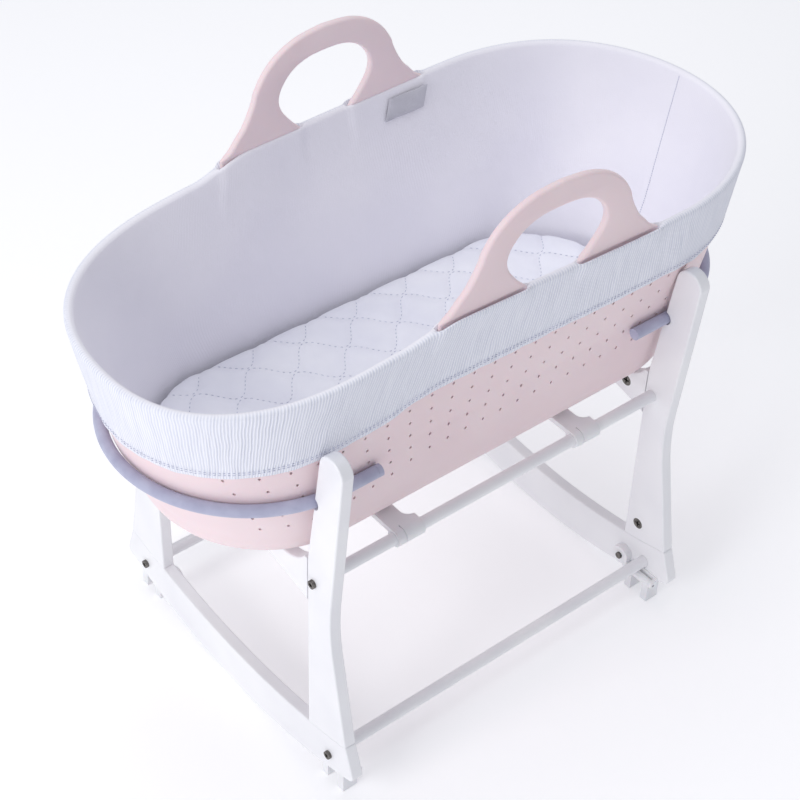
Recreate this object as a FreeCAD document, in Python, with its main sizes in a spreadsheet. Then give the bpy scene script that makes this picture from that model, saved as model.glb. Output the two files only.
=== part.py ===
"""Bassinet (moses basket) on a rocking stand, a parametric document.

Millimetres, +Z up. The origin is on the floor, under the middle of the basket.
+X runs from the foot end to the head end, and +Y to the left-hand side.
The stand is two wooden end frames joined by four round rails. The basket drops
between the frames, stands on two cradle bars, and is steadied by two hoops.
"""
import FreeCAD, Part
import Sketcher
import math
import os
from FreeCAD import Rotation, Vector

DOC = FreeCAD.newDocument("Bassinet")
SHEET = DOC.addObject("Spreadsheet::Sheet", "Sizes")

DRIVING = [
    # end frames
    ("frame_half", 246.0),          # middle of the stand to an end frame's inner face
    ("board_thick", 16.0),
    ("stand_shift", -10.0),         # middle of the stand from the middle of the basket
    ("rocker_radius", 661.0),       # underside of the rocker
    ("rocker_mid_height", 61.5),
    ("rocker_top_radius", 820.0),   # hollow of the upper edge
    ("toe_out", 237.0),             # lower corner of the rocker's toe
    ("leg_in", 151.0),              # inner edge of the leg
    ("leg_foot_out", 220.5),        # outer edge where the leg meets the rocker
    ("leg_waist_out", 188.5),
    ("leg_waist_up", 258.0),
    ("leg_top_in", 171.5),
    ("leg_top_out", 210.0),
    ("leg_shoulder_up", 500.0),     # where the rounded top starts
    ("top_slack", 0.1),             # rounded top's radius over half the leg's width
    ("leg_kink_up", 345.0),         # inner edge leans out above this
    ("waist_blend", 290.0),
    ("kink_blend", 140.0),
    ("toe_blend", 9.0),
    ("heel_blend", 4.0),
    ("edge_blend", 2.2),            # eased edges of all boards
    ("tie_end_low", 280.0),
    ("tie_end_high", 345.0),
    ("tie_low_radius", 506.0),      # arched underside
    ("seat_gap", 3.0),              # tie's dished upper edge from the basket
    ("wood_gap", 0.4),              # joint line between two boards
    # rails
    ("rail_dia", 15.0),
    ("rail_wall", 1.5),
    ("rail_socket", 7.0),           # depth of a rail's end in the board
    ("socket_gap", 0.3),            # on the diameter
    ("lower_rail_out", 191.0),
    ("lower_rail_up", 53.0),
    ("upper_rail_out", 162.0),
    ("upper_rail_up", 315.0),
    ("plug_long", 24.0),
    ("bolt_dia", 6.0),
    ("bolt_head_dia", 10.5),
    ("bolt_head_high", 4.0),
    ("bolt_grip", 20.0),            # screwed length in the plug
    ("thread_gap", 0.1),
    # cam locks and dowels
    ("cam_dia", 15.0),
    ("cam_deep", 12.0),
    ("leg_cam_in", 171.5),
    ("leg_cam_up", 105.0),
    ("tie_cam_out", 119.0),
    ("tie_cam_up", 310.0),
    ("stud_dia", 5.0),
    ("stud_screwed", 7.0),
    ("stud_depth", 10.5),           # studs from the frame's inner face
    ("dowel_dia", 8.0),
    ("dowel_long", 30.0),
    ("dowel_gap", 2.0),             # length that a dowel leaves free
    ("dowel_step", 22.0),           # leg's dowel from its cam stud
    ("tie_dowel_drop", 18.0),       # tie's dowel from its cam stud
    ("slot_deep", 3.0),             # crossed slot in a cam's face
    # cradle bars
    ("cradle_half_gap", 133.0),     # stand's middle to the middle of a bar's collars
    ("cradle_wide", 25.5),
    ("cradle_thick", 7.0),
    ("collar_dia", 21.0),
    ("collar_long", 37.0),
    ("collar_gap", 0.2),
    ("groove_from_end", 10.0),
    ("groove_wide", 1.2),
    ("groove_deep", 1.0),
    # hoops
    ("hoop_up", 436.0),
    ("hoop_radius", 164.5),
    ("hoop_reach", 398.0),          # basket's middle to the middle of the hoop's crown
    ("hoop_end", 192.0),            # where a hoop's ends stop
    ("hoop_core_dia", 6.0),
    ("hoop_dia", 14.4),
    ("sleeve_gap", 0.2),
    ("hoop_cap", 6.0),
    ("notch_gap", 1.8),
    ("hoop_screw_dia", 3.5),
    ("hoop_screw_deep", 18.0),
    # flip-down stops
    ("boss_out", 158.0),
    ("boss_up", 43.0),
    ("boss_dia", 26.0),
    ("boss_thick", 10.0),
    ("stop_screw_dia", 5.0),
    ("stop_head_dia", 9.0),
    ("stop_head_high", 3.0),
    ("back_thick", 1.6),            # bracket's strip along the rocker
    ("back_low", 32.5),
    ("back_high", 42.0),
    ("hinge_up", 33.0),
    ("hinge_off", 7.0),             # hinge axis from the rocker's face
    ("hinge_pin_dia", 4.0),
    ("barrel_dia", 10.0),
    ("foot_in", 172.0),             # the two feet stand either side of the lower rail
    ("foot_out", 212.0),
    ("foot_wide", 10.5),
    ("knuckle_wide", 6.0),
    ("stop_plate", 5.0),
    ("shoe_under", 11.0),           # reach of a shoe below the rocker
    ("shoe_gap", 0.6),
    ("arch_up", 26.0),
    ("turn_gap", 0.3),
    # basket
    ("shell_wall", 5.0),
    ("base_end", 148.0),            # length of the oval's elliptic end, at each level
    ("waist_end", 154.0),
    ("hem_end", 185.0),
    ("rim_end", 217.0),
    ("over_rim", 30.0),             # the form runs on above the rim by this
    ("base_up", 326.0),
    ("base_round", 41.0),
    ("base_half_long", 363.0),
    ("base_half_wide", 148.0),
    ("waist_up", 436.0),
    ("waist_half_long", 389.0),
    ("waist_half_wide", 156.5),
    ("hem_half_long", 407.0),
    ("hem_half_wide", 174.0),
    ("hem_up", 525.0),
    ("rim_half_long", 420.0),
    ("rim_half_wide", 190.0),
    ("rim_up", 607.0),
    ("side_head_up", 617.5),        # the liner's rim at the sides and head
    ("side_tail_up", 601.0),        # rim of the sides before it dips to the foot
    ("foot_tip_up", 576.0),
    ("head_tip_up", 612.0),
    ("dip_from", -185.0),           # the rim's step down beside the handles
    ("dip_to", -105.0),
    ("head_fall_from", 300.0),
    ("hem_drop", 96.0),             # depth of the liner's turned-down skirt
    ("rim_roll", 5.0),              # cloth over the shell's upper edge
    ("cloth_gap", 0.4),
    ("skirt_thick", 3.0),
    ("lining_thick", 2.0),
    # handles
    ("handle_mid", 12.0),
    ("handle_half_foot", 147.0),
    ("handle_half_neck", 98.0),
    ("handle_neck_up", 680.0),
    ("handle_top_up", 735.0),
    ("handle_thick", 10.0),
    ("handle_lean", 4.0),           # degrees, towards the middle
    ("handle_root_up", 597.0),
    ("grip_half_wide", 66.0),
    ("grip_mid_up", 663.0),
    ("grip_rise", 42.0),
    ("grip_fall", 58.0),
    ("handle_cheek", 9.0),          # how much wider the loop is below its neck
    ("handle_cheek_drop", 20.0),
    ("handle_knee", 0.845),         # share of the foot's width kept at the knee
    ("handle_knee_rise", 19.0),
    # inside
    ("board_gap", 0.4),
    ("stiffener_thick", 3.0),
    ("stiffener_inset", 39.0),      # clears the rounded edge of the shell's floor
    ("mattress_half_long", 336.0),
    ("mattress_half_wide", 138.0),
    ("mattress_end", 130.0),
    ("mattress_thick", 50.0),
    ("mattress_shift", -12.0),
    ("mattress_round", 26.0),
    ("mattress_gap", 0.8),
    ("cover_thick", 2.5),
    # woven tag on the lining
    ("tag_mid", 122.0),
    ("tag_long", 58.0),
    ("tag_high", 26.0),
    ("tag_thick", 0.8),
    ("tag_gap", 1.2),
    ("tag_turn", 0.0),              # degrees off level
    ("tag_up", 608.0),              # upper edge
]

for row, (alias, value) in enumerate(DRIVING, start=1):
    SHEET.set(f"A{row}", alias)
    SHEET.set(f"B{row}", str(value))
    SHEET.setAlias(f"B{row}", alias)
DOC.recompute()


class Size:
    """A length that knows its number and the sheet expression that gives it."""

    def __init__(self, text, value):
        self.text = text
        self.value = value

    @staticmethod
    def of(other):
        return other if isinstance(other, Size) else Size(f"({other})", float(other))

    def join(self, sign, other, value):
        return Size(f"({self.text} {sign} {Size.of(other).text})", value)

    def __add__(self, other):
        return self.join("+", other, self.value + Size.of(other).value)

    def __sub__(self, other):
        return self.join("-", other, self.value - Size.of(other).value)

    def __mul__(self, other):
        return self.join("*", other, self.value * Size.of(other).value)

    def __truediv__(self, other):
        return self.join("/", other, self.value / Size.of(other).value)

    def __rsub__(self, other):
        return Size.of(other) - self

    __radd__ = __add__
    __rmul__ = __mul__

    def __neg__(self):
        return self * -1

    def root(self):
        return Size(f"sqrt({self.text})", math.sqrt(self.value))


S = {alias: Size(f"Sizes.{alias}", value) for alias, value in DRIVING}
V = {alias: size.value for alias, size in S.items()}
ZERO = Size.of(0)

SIDES = {"left": 1, "right": -1}
ENDS = {"head": 1, "foot": -1}
nodes = {}


# ---------------------------------------------------------------- helpers

def publish(obj, label):
    """Gives an object the label that names its file and notes it for export."""
    obj.Label = label
    nodes[label] = obj
    return obj


def bind(obj, **sizes):
    for name, size in sizes.items():
        obj.setExpression(name.replace("__", "."), size.text)


def place(obj, x, y, z):
    bind(obj, Placement__Base__x=Size.of(x), Placement__Base__y=Size.of(y),
         Placement__Base__z=Size.of(z))


def cylinder(name, dia, length, at, along):
    """A cylinder whose round start is centred on at and which runs along a direction."""
    obj = DOC.addObject("Part::Cylinder", name)
    obj.Placement.Rotation = Rotation(Vector(0, 0, 1), Vector(*along))
    bind(obj, Radius=dia / 2, Height=Size.of(length))
    place(obj, *at)
    return obj


def box(name, low, long, wide, high):
    obj = DOC.addObject("Part::Box", name)
    bind(obj, Length=Size.of(long), Width=Size.of(wide), Height=Size.of(high))
    place(obj, *low)
    return obj


def fuse(name, parts):
    if len(parts) == 1:
        return parts[0]
    obj = DOC.addObject("Part::MultiFuse", name)
    obj.Shapes = parts
    return obj


def cut(name, base, tools):
    obj = DOC.addObject("Part::Cut", name)
    obj.Base = base
    obj.Tool = fuse(name + "_tools", tools)
    return obj


def group(name, parts):
    """Separate like solids kept in one node."""
    obj = DOC.addObject("Part::Compound", name)
    obj.Links = parts
    return obj


def origin_plane(body, role):
    return next(f for f in body.Origin.OriginFeatures if f.Role == role)


def outline(body, name, corners, role="YZ_Plane"):
    """A closed sketch through corners (across, up, radius of the edge that follows).

    A radius of None is a straight edge. A positive radius bulges to the right of the
    way from this corner to the next, and a negative one to the left.
    """
    sketch = body.newObject("Sketcher::SketchObject", name)
    sketch.AttachmentSupport = [(origin_plane(body, role), "")]
    sketch.MapMode = "FlatFace"
    points = [Vector(u.value, v.value, 0) for u, v, _ in corners]
    count = len(corners)
    starts = []
    for i, (_, _, radius) in enumerate(corners):
        start, end = points[i], points[(i + 1) % count]
        if radius is None:
            sketch.addGeometry(Part.LineSegment(start, end))
        else:
            half = (end - start).Length / 2
            sag = abs(radius.value) - math.sqrt(radius.value ** 2 - half ** 2)
            way = (end - start).normalize()
            right = Vector(way.y, -way.x, 0)
            middle = (start + end) / 2 + right * math.copysign(sag, radius.value)
            sketch.addGeometry(Part.Arc(start, middle, end))
        starts.append(1 if (sketch.getPoint(i, 1) - start).Length < 1e-6 else 2)
    for i, (u, v, radius) in enumerate(corners):
        after = (i + 1) % count
        sketch.addConstraint(Sketcher.Constraint("Coincident", i, 3 - starts[i], after, starts[after]))
        for kind, size in (("DistanceX", u), ("DistanceY", v)):
            index = sketch.addConstraint(Sketcher.Constraint(kind, -1, 1, i, starts[i], size.value))
            sketch.setExpression(f"Constraints[{index}]", size.text)
        if radius is not None:
            index = sketch.addConstraint(Sketcher.Constraint("Radius", i, abs(radius.value)))
            sketch.setExpression(f"Constraints[{index}]", (radius if radius.value > 0 else -radius).text)
    return sketch


def edges_near(shape, places):
    """Names of the straight edges along X that pass the given (y, z) places."""
    names = []
    for i, edge in enumerate(shape.Edges, start=1):
        a, b = edge.Vertexes[0].Point, edge.Vertexes[-1].Point
        if abs(a.y - b.y) > 0.01 or abs(a.z - b.z) > 0.01:
            continue
        if any(math.hypot(a.y - y, a.z - z) < 0.5 for y, z in places):
            names.append(f"Edge{i}")
    return names


def rim_edges(shape, joint):
    """Names of the edges in a board's two faces, without those of a joint face."""
    return [f"Edge{i}" for i, edge in enumerate(shape.Edges, start=1)
            if edge.BoundBox.XLength < 0.01 and not joint(edge)]


def no_joint(_):
    return False


def straight(edge):
    return isinstance(edge.Curve, Part.Line)


def on_rocker(edge):
    """Whether an edge follows the rocker's hollow top."""
    return isinstance(edge.Curve, Part.Circle) and abs(edge.Curve.Radius - V["rocker_top_radius"]) < 1


def board(name, corners, x, blends, joint=no_joint):
    """A board cut to an outline, with some corners rounded and all its edges eased."""
    body = DOC.addObject("PartDesign::Body", name)
    sketch = outline(body, name + "_outline", corners)
    pad = body.newObject("PartDesign::Pad", name + "_board")
    pad.Profile = sketch
    bind(pad, Length=S["board_thick"])
    DOC.recompute()
    last = pad
    for i, (radius, places) in enumerate(blends):
        fillet = body.newObject("PartDesign::Fillet", f"{name}_corner{i}")
        fillet.Base = (last, edges_near(last.Shape, places))
        bind(fillet, Radius=radius)
        DOC.recompute()
        last = fillet
    eased = body.newObject("PartDesign::Fillet", name + "_eased")
    eased.Base = (last, rim_edges(last.Shape, joint))
    bind(eased, Radius=S["edge_blend"])
    body.Tip = eased
    place(body, x, 0, 0)
    DOC.recompute()
    return body


def frame_x(end, depth=0):
    """X of a plane a given depth into an end frame from its inner face."""
    return S["stand_shift"] + ENDS[end] * (S["frame_half"] + depth)


def board_x(end):
    """X of the lower face of an end frame's board, where its sketch lies."""
    return frame_x(end) if end == "head" else frame_x(end, S["board_thick"])


def rocker_top(across):
    """Height of the rocker's upper edge at a distance from the middle."""
    radius = S["rocker_top_radius"]
    return S["rocker_mid_height"] + radius - (radius * radius - across * across).root()


def rocker_foot(across):
    """Height of the rocker's underside at a distance from the middle."""
    radius = S["rocker_radius"]
    return radius - (radius * radius - across * across).root()


# ---------------------------------------------------------------- stand, wood

RAILS = {
    "lower": (S["lower_rail_out"], S["lower_rail_up"]),
    "upper": (S["upper_rail_out"], S["upper_rail_up"]),
}


def rail_sockets(name, end, level, side):
    """Cutters for one rail's end: the socket, the bolt's hole and nothing more."""
    out, up = RAILS[level]
    inward = Vector(ENDS[end], 0, 0)
    y = SIDES[side] * out
    socket = cylinder(name + "_socket", S["rail_dia"] + S["socket_gap"], S["rail_socket"] + 1,
                      (frame_x(end, -1), y, up), inward)
    hole = cylinder(name + "_bolt_hole", S["bolt_dia"] + S["socket_gap"], S["board_thick"] + 2,
                    (frame_x(end, -1), y, up), inward)
    return [socket, hole]


def cam_hole(name, end, y, up):
    return cylinder(name, S["cam_dia"] + S["socket_gap"], S["cam_deep"] + 1,
                    (frame_x(end, -1), y, up), (ENDS[end], 0, 0))


def make_leg(end, side):
    name = f"leg_{end}_{side}"
    hand = SIDES[side]
    foot_gap = S["wood_gap"]
    inner_foot = rocker_top(S["leg_in"]) + foot_gap
    outer_foot = rocker_top(S["leg_foot_out"]) + foot_gap
    top_radius = (S["leg_top_out"] - S["leg_top_in"]) / 2 + S["top_slack"]
    corners = [
        (S["leg_in"], inner_foot, S["rocker_top_radius"] * hand),
        (S["leg_foot_out"], outer_foot, None),
        (S["leg_waist_out"], S["leg_waist_up"], None),
        (S["leg_top_out"], S["leg_shoulder_up"], top_radius * hand),
        (S["leg_top_in"], S["leg_shoulder_up"], None),
        (S["leg_in"], S["leg_kink_up"], None),
    ]
    corners = [(u * hand, v, r) for u, v, r in corners]
    waist = (hand * V["leg_waist_out"], V["leg_waist_up"])
    kink = (hand * V["leg_in"], V["leg_kink_up"])
    body = board(name + "_blank", corners, board_x(end),
                 [(S["waist_blend"], [waist]), (S["kink_blend"], [kink])], on_rocker)
    tools = rail_sockets(name, end, "upper", side)
    tools.append(cam_hole(name + "_cam_hole", end, hand * S["leg_cam_in"], S["leg_cam_up"]))
    tools += [stud_hole(name, end, hand), dowel_hole(name, end, hand), tie_stud_hole(name, end, hand),
              tie_dowel_hole(name, end, hand)]
    notch_y = hoop_at(end, S["board_thick"] / 2)
    tools.append(cylinder(name + "_notch", S["hoop_dia"] + S["notch_gap"] * 2, S["board_thick"] + 2,
                          (frame_x(end, -1), hand * notch_y, S["hoop_up"]), (ENDS[end], 0, 0)))
    tools.append(hoop_screw(name + "_screw_hole", end, side, S["socket_gap"]))
    publish(cut(name, body, tools), name)


def hoop_at(end, depth):
    """Distance of a hoop's centre line from the middle where it passes an end frame."""
    centre = S["hoop_reach"] - S["hoop_radius"]
    along = ENDS[end] * frame_x(end, depth) - centre
    return (S["hoop_radius"] * S["hoop_radius"] - along * along).root()


def middle_depth(end):
    return frame_x(end, S["board_thick"] / 2)


def stud_at(end, hand):
    return (frame_x(end, S["stud_depth"]), hand * S["leg_cam_in"])


def stud_hole(name, end, hand):
    """Vertical hole of the leg's cam stud, up from the rocker into the cam."""
    x, y = stud_at(end, hand)
    low = rocker_top(S["leg_cam_in"]) - 2
    return cylinder(name + "_stud_hole", S["stud_dia"] + S["socket_gap"], S["leg_cam_up"] - low,
                    (x, y, low), (0, 0, 1))


def dowel_hole(name, end, hand):
    x, y = stud_at(end, hand)
    return cylinder(name + "_dowel_hole", S["dowel_dia"] + S["socket_gap"], S["dowel_long"],
                    (x, y + hand * S["dowel_step"], dowel_low()), (0, 0, 1))


def tie_stud_hole(name, end, hand):
    return cylinder(name + "_tie_stud_hole", S["stud_dia"] + S["socket_gap"], S["stud_screwed"] + 1.5,
                    (frame_x(end, S["stud_depth"]), hand * (S["leg_in"] - 1), S["tie_cam_up"]),
                    (0, hand, 0))


def tie_dowel_hole(name, end, hand):
    return cylinder(name + "_tie_dowel_hole", S["dowel_dia"] + S["socket_gap"], S["dowel_long"] / 2 + 1.5,
                    (frame_x(end, S["stud_depth"]), hand * (S["leg_in"] - 1), tie_dowel_up()),
                    (0, hand, 0))


def hoop_screw(name, end, side, gap=0):
    """The screw from the inside of a hoop, through it and into the leg, or its clearance hole."""
    hand = SIDES[side]
    notch_y = hoop_at(end, S["board_thick"] / 2)
    start = notch_y - S["hoop_dia"] / 2
    return cylinder(name, S["hoop_screw_dia"] + gap, S["hoop_dia"] + S["hoop_screw_deep"] + gap,
                    (middle_depth(end), hand * start, S["hoop_up"]), (0, hand, 0))


def make_rocker(end):
    name = f"rocker_{end}"
    toe, foot = S["toe_out"], S["leg_foot_out"]
    corners = [
        (-toe, rocker_foot(toe), S["rocker_radius"]),
        (toe, rocker_foot(toe), None),
        (foot, rocker_top(foot), -S["rocker_top_radius"]),
        (-foot, rocker_top(foot), None),
    ]
    toes = [(hand * toe.value, rocker_foot(toe).value) for hand in (1, -1)]
    heels = [(hand * foot.value, rocker_top(foot).value) for hand in (1, -1)]
    body = board(name + "_blank", corners, board_x(end), [(S["toe_blend"], toes), (S["heel_blend"], heels)])
    tools = []
    for side, hand in SIDES.items():
        mark = f"{name}_{side}"
        tools += rail_sockets(mark, end, "lower", side)
        x, y = stud_at(end, hand)
        tools.append(cylinder(mark + "_stud_hole", S["stud_dia"], S["stud_screwed"] + 3,
                              (x, y, rocker_top(S["leg_cam_in"]) - S["stud_screwed"]), (0, 0, 1)))
        tools.append(cylinder(mark + "_dowel_hole", S["dowel_dia"] + S["socket_gap"], S["dowel_long"],
                              (x, y + hand * S["dowel_step"], dowel_low() - 1), (0, 0, 1)))
        tools.append(cylinder(mark + "_pilot", S["stop_screw_dia"], S["board_thick"] / 2 + 1,
                              (frame_x(end, -1), hand * S["boss_out"], S["boss_up"]), (ENDS[end], 0, 0)))
    publish(cut(name, body, tools), name)


def dowel_low():
    """Lower end of the upright dowels, half in the rocker and half in the leg."""
    return rocker_top(S["leg_cam_in"] + S["dowel_step"]) - S["dowel_long"] / 2


def make_tie(end):
    name = f"cross_tie_{end}"
    across = S["leg_in"] - S["wood_gap"]
    dish = S["base_round"] + S["seat_gap"]
    flat = S["base_half_wide"] - S["base_round"]
    rise = S["base_up"] + S["base_round"] - S["tie_end_high"]
    lip = flat + (dish * dish - rise * rise).root()
    seat = S["base_up"] - S["seat_gap"]
    corners = [
        (-across, S["tie_end_low"], -S["tie_low_radius"]),
        (across, S["tie_end_low"], None),
        (across, S["tie_end_high"], None),
        (lip, S["tie_end_high"], -dish),
        (flat, seat, None),
        (-flat, seat, -dish),
        (-lip, S["tie_end_high"], None),
        (-across, S["tie_end_high"], None),
    ]
    body = board(name + "_blank", corners, board_x(end), [], straight)
    tools = []
    for side, hand in SIDES.items():
        mark = f"{name}_{side}"
        tools.append(cam_hole(mark + "_cam_hole", end, hand * S["tie_cam_out"], S["tie_cam_up"]))
        x = frame_x(end, S["stud_depth"])
        tools.append(cylinder(mark + "_stud_hole", S["stud_dia"] + S["socket_gap"],
                              S["leg_in"] - S["tie_cam_out"] + 1,
                              (x, hand * S["tie_cam_out"], S["tie_cam_up"]), (0, hand, 0)))
        tools.append(cylinder(mark + "_dowel_hole", S["dowel_dia"] + S["socket_gap"], S["dowel_long"],
                              (x, hand * (S["leg_in"] - S["dowel_long"] / 2 - 1), tie_dowel_up()),
                              (0, hand, 0)))
    publish(cut(name, body, tools), name)


def tie_dowel_up():
    return S["tie_cam_up"] - S["tie_dowel_drop"]


# ---------------------------------------------------------------- rails and fasteners

def rail_ends():
    for level, (out, up) in RAILS.items():
        for side, hand in SIDES.items():
            yield level, side, hand * out, up


def make_rails():
    low = frame_x("foot", S["rail_socket"] - S["turn_gap"])
    high = frame_x("head", S["rail_socket"] - S["turn_gap"])
    bore_dia = S["rail_dia"] - 2 * S["rail_wall"]
    plugs, bolts = [], []
    for level, side, y, up in rail_ends():
        name = f"rail_{level}_{side}"
        tube = cylinder(name + "_bar", S["rail_dia"], high - low, (low, y, up), (1, 0, 0))
        bore = cylinder(name + "_bore", bore_dia, high - low + 2, (low - 1, y, up), (1, 0, 0))
        publish(cut(name, tube, [bore]), name)
        for end, way in ENDS.items():
            mark = f"{name}_{end}"
            mouth = high if end == "head" else low
            plug = cylinder(mark + "_plug_bar", bore_dia - S["thread_gap"], S["plug_long"],
                            (mouth - way * S["plug_long"], y, up), (way, 0, 0))
            thread = cylinder(mark + "_thread", S["bolt_dia"] + S["thread_gap"], S["plug_long"] + 2,
                              (mouth - way * (S["plug_long"] + 1), y, up), (way, 0, 0))
            plugs.append(cut(mark + "_plug", plug, [thread]))
            bolts.append(make_bolt(mark, end, mouth, y, up))
    publish(group("plugs", plugs), "rail_plugs")
    publish(group("bolts", bolts), "rail_bolts")


def make_bolt(mark, end, mouth, y, up):
    """A round-headed hexagon-socket bolt through the board into a rail's plug."""
    way = ENDS[end]
    face = frame_x(end, S["board_thick"])
    tip = mouth - way * S["bolt_grip"]
    shank = cylinder(mark + "_shank", S["bolt_dia"], way * (face - tip), (tip, y, up), (way, 0, 0))
    head = cylinder(mark + "_head", S["bolt_head_dia"], S["bolt_head_high"], (face, y, up), (way, 0, 0))
    solid = fuse(mark + "_bolt_solid", [shank, head])
    key = DOC.addObject("Part::Prism", mark + "_key")
    key.Polygon = 6
    key.Placement.Rotation = Rotation(Vector(0, 0, 1), Vector(way, 0, 0))
    bind(key, Circumradius=S["bolt_head_dia"] * 0.26, Height=S["bolt_head_high"])
    place(key, face + way * S["bolt_head_high"] / 2, y, up)
    return cut(mark + "_bolt", solid, [key])


def make_joinery():
    cams, studs, dowels = [], [], []
    for end, way in ENDS.items():
        for side, hand in SIDES.items():
            mark = f"{end}_{side}"
            cams.append(make_cam(f"cam_{mark}_leg", end, hand * S["leg_cam_in"], S["leg_cam_up"]))
            cams.append(make_cam(f"cam_{mark}_tie", end, hand * S["tie_cam_out"], S["tie_cam_up"]))
            x, y = stud_at(end, hand)
            low = rocker_top(S["leg_cam_in"]) - S["stud_screwed"]
            high = S["leg_cam_up"] - S["cam_dia"] / 2 - S["turn_gap"]
            studs.append(cylinder(f"stud_{mark}_leg", S["stud_dia"], high - low, (x, y, low), (0, 0, 1)))
            inner = S["tie_cam_out"] + S["cam_dia"] / 2 + S["turn_gap"]
            reach = S["leg_in"] + S["stud_screwed"] - inner
            studs.append(cylinder(f"stud_{mark}_tie", S["stud_dia"], reach,
                                  (x, hand * inner, S["tie_cam_up"]), (0, hand, 0)))
            dowels.append(cylinder(f"dowel_{mark}_leg", S["dowel_dia"], S["dowel_long"] - S["dowel_gap"],
                                   (x, y + hand * S["dowel_step"], dowel_low()), (0, 0, 1)))
            dowels.append(cylinder(f"dowel_{mark}_tie", S["dowel_dia"], S["dowel_long"] - S["dowel_gap"],
                                   (x, hand * (S["leg_in"] - S["dowel_long"] / 2), tie_dowel_up()),
                                   (0, hand, 0)))
    publish(group("cams", cams), "cam_locks")
    publish(group("studs", studs), "cam_studs")
    publish(group("dowels", dowels), "wood_dowels")


def make_cam(mark, end, y, up):
    """A cam lock disc with a crossed screwdriver slot in its face."""
    way = ENDS[end]
    disc = cylinder(mark + "_disc", S["cam_dia"], S["cam_deep"], (frame_x(end), y, up), (way, 0, 0))
    slot_long, slot_wide = S["cam_dia"] * 0.6, S["cam_dia"] * 0.14
    near = frame_x(end, -1) if way > 0 else frame_x(end, S["slot_deep"])
    slots = []
    for i, (wide, high) in enumerate(((slot_long, slot_wide), (slot_wide, slot_long))):
        slots.append(box(f"{mark}_slot{i}", (near, y - wide / 2, up - high / 2), S["slot_deep"] + 1,
                         wide, high))
    return cut(mark, disc, slots)


# ---------------------------------------------------------------- cradle bars and hoops

def make_cradle_bar(end):
    """A flat bar under the basket, with a collar round each upper rail."""
    name = f"cradle_bar_{end}"
    out, up = S["upper_rail_out"], S["upper_rail_up"]
    long, wide, collar = S["collar_long"], S["cradle_wide"], S["collar_dia"] / 2
    flare = long - wide
    corners = [
        (ZERO, -out, None),
        (long, -out, None),
        (long, collar - out, -flare),
        (wide, collar + flare - out, None),
        (wide, out - collar - flare, -flare),
        (long, out - collar, None),
        (long, out, None),
        (ZERO, out, None),
    ]
    body = DOC.addObject("PartDesign::Body", name + "_plate")
    pad = body.newObject("PartDesign::Pad", name + "_pad")
    pad.Profile = outline(body, name + "_outline", corners, "XY_Plane")
    bind(pad, Length=S["cradle_thick"])
    low = S["stand_shift"] + ENDS[end] * S["cradle_half_gap"] - long / 2
    place(body, low, 0, up + collar - S["cradle_thick"])
    parts, tools = [body], []
    for side, hand in SIDES.items():
        mark = f"{name}_{side}"
        y = hand * out
        parts.append(cylinder(mark + "_collar", S["collar_dia"], long, (low, y, up), (1, 0, 0)))
        tools.append(cylinder(mark + "_bore", S["rail_dia"] + S["collar_gap"], long + 2, (low - 1, y, up),
                              (1, 0, 0)))
        ring = cylinder(mark + "_ring", S["collar_dia"] + 2, S["groove_wide"],
                        (low + S["groove_from_end"], y, up), (1, 0, 0))
        keep = cylinder(mark + "_keep", S["collar_dia"] - 2 * S["groove_deep"], S["groove_wide"] + 2,
                        (low + S["groove_from_end"] - 1, y, up), (1, 0, 0))
        tools.append(cut(mark + "_groove", ring, [keep]))
    publish(cut(name, fuse(name + "_solid", parts), tools), name)


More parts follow.
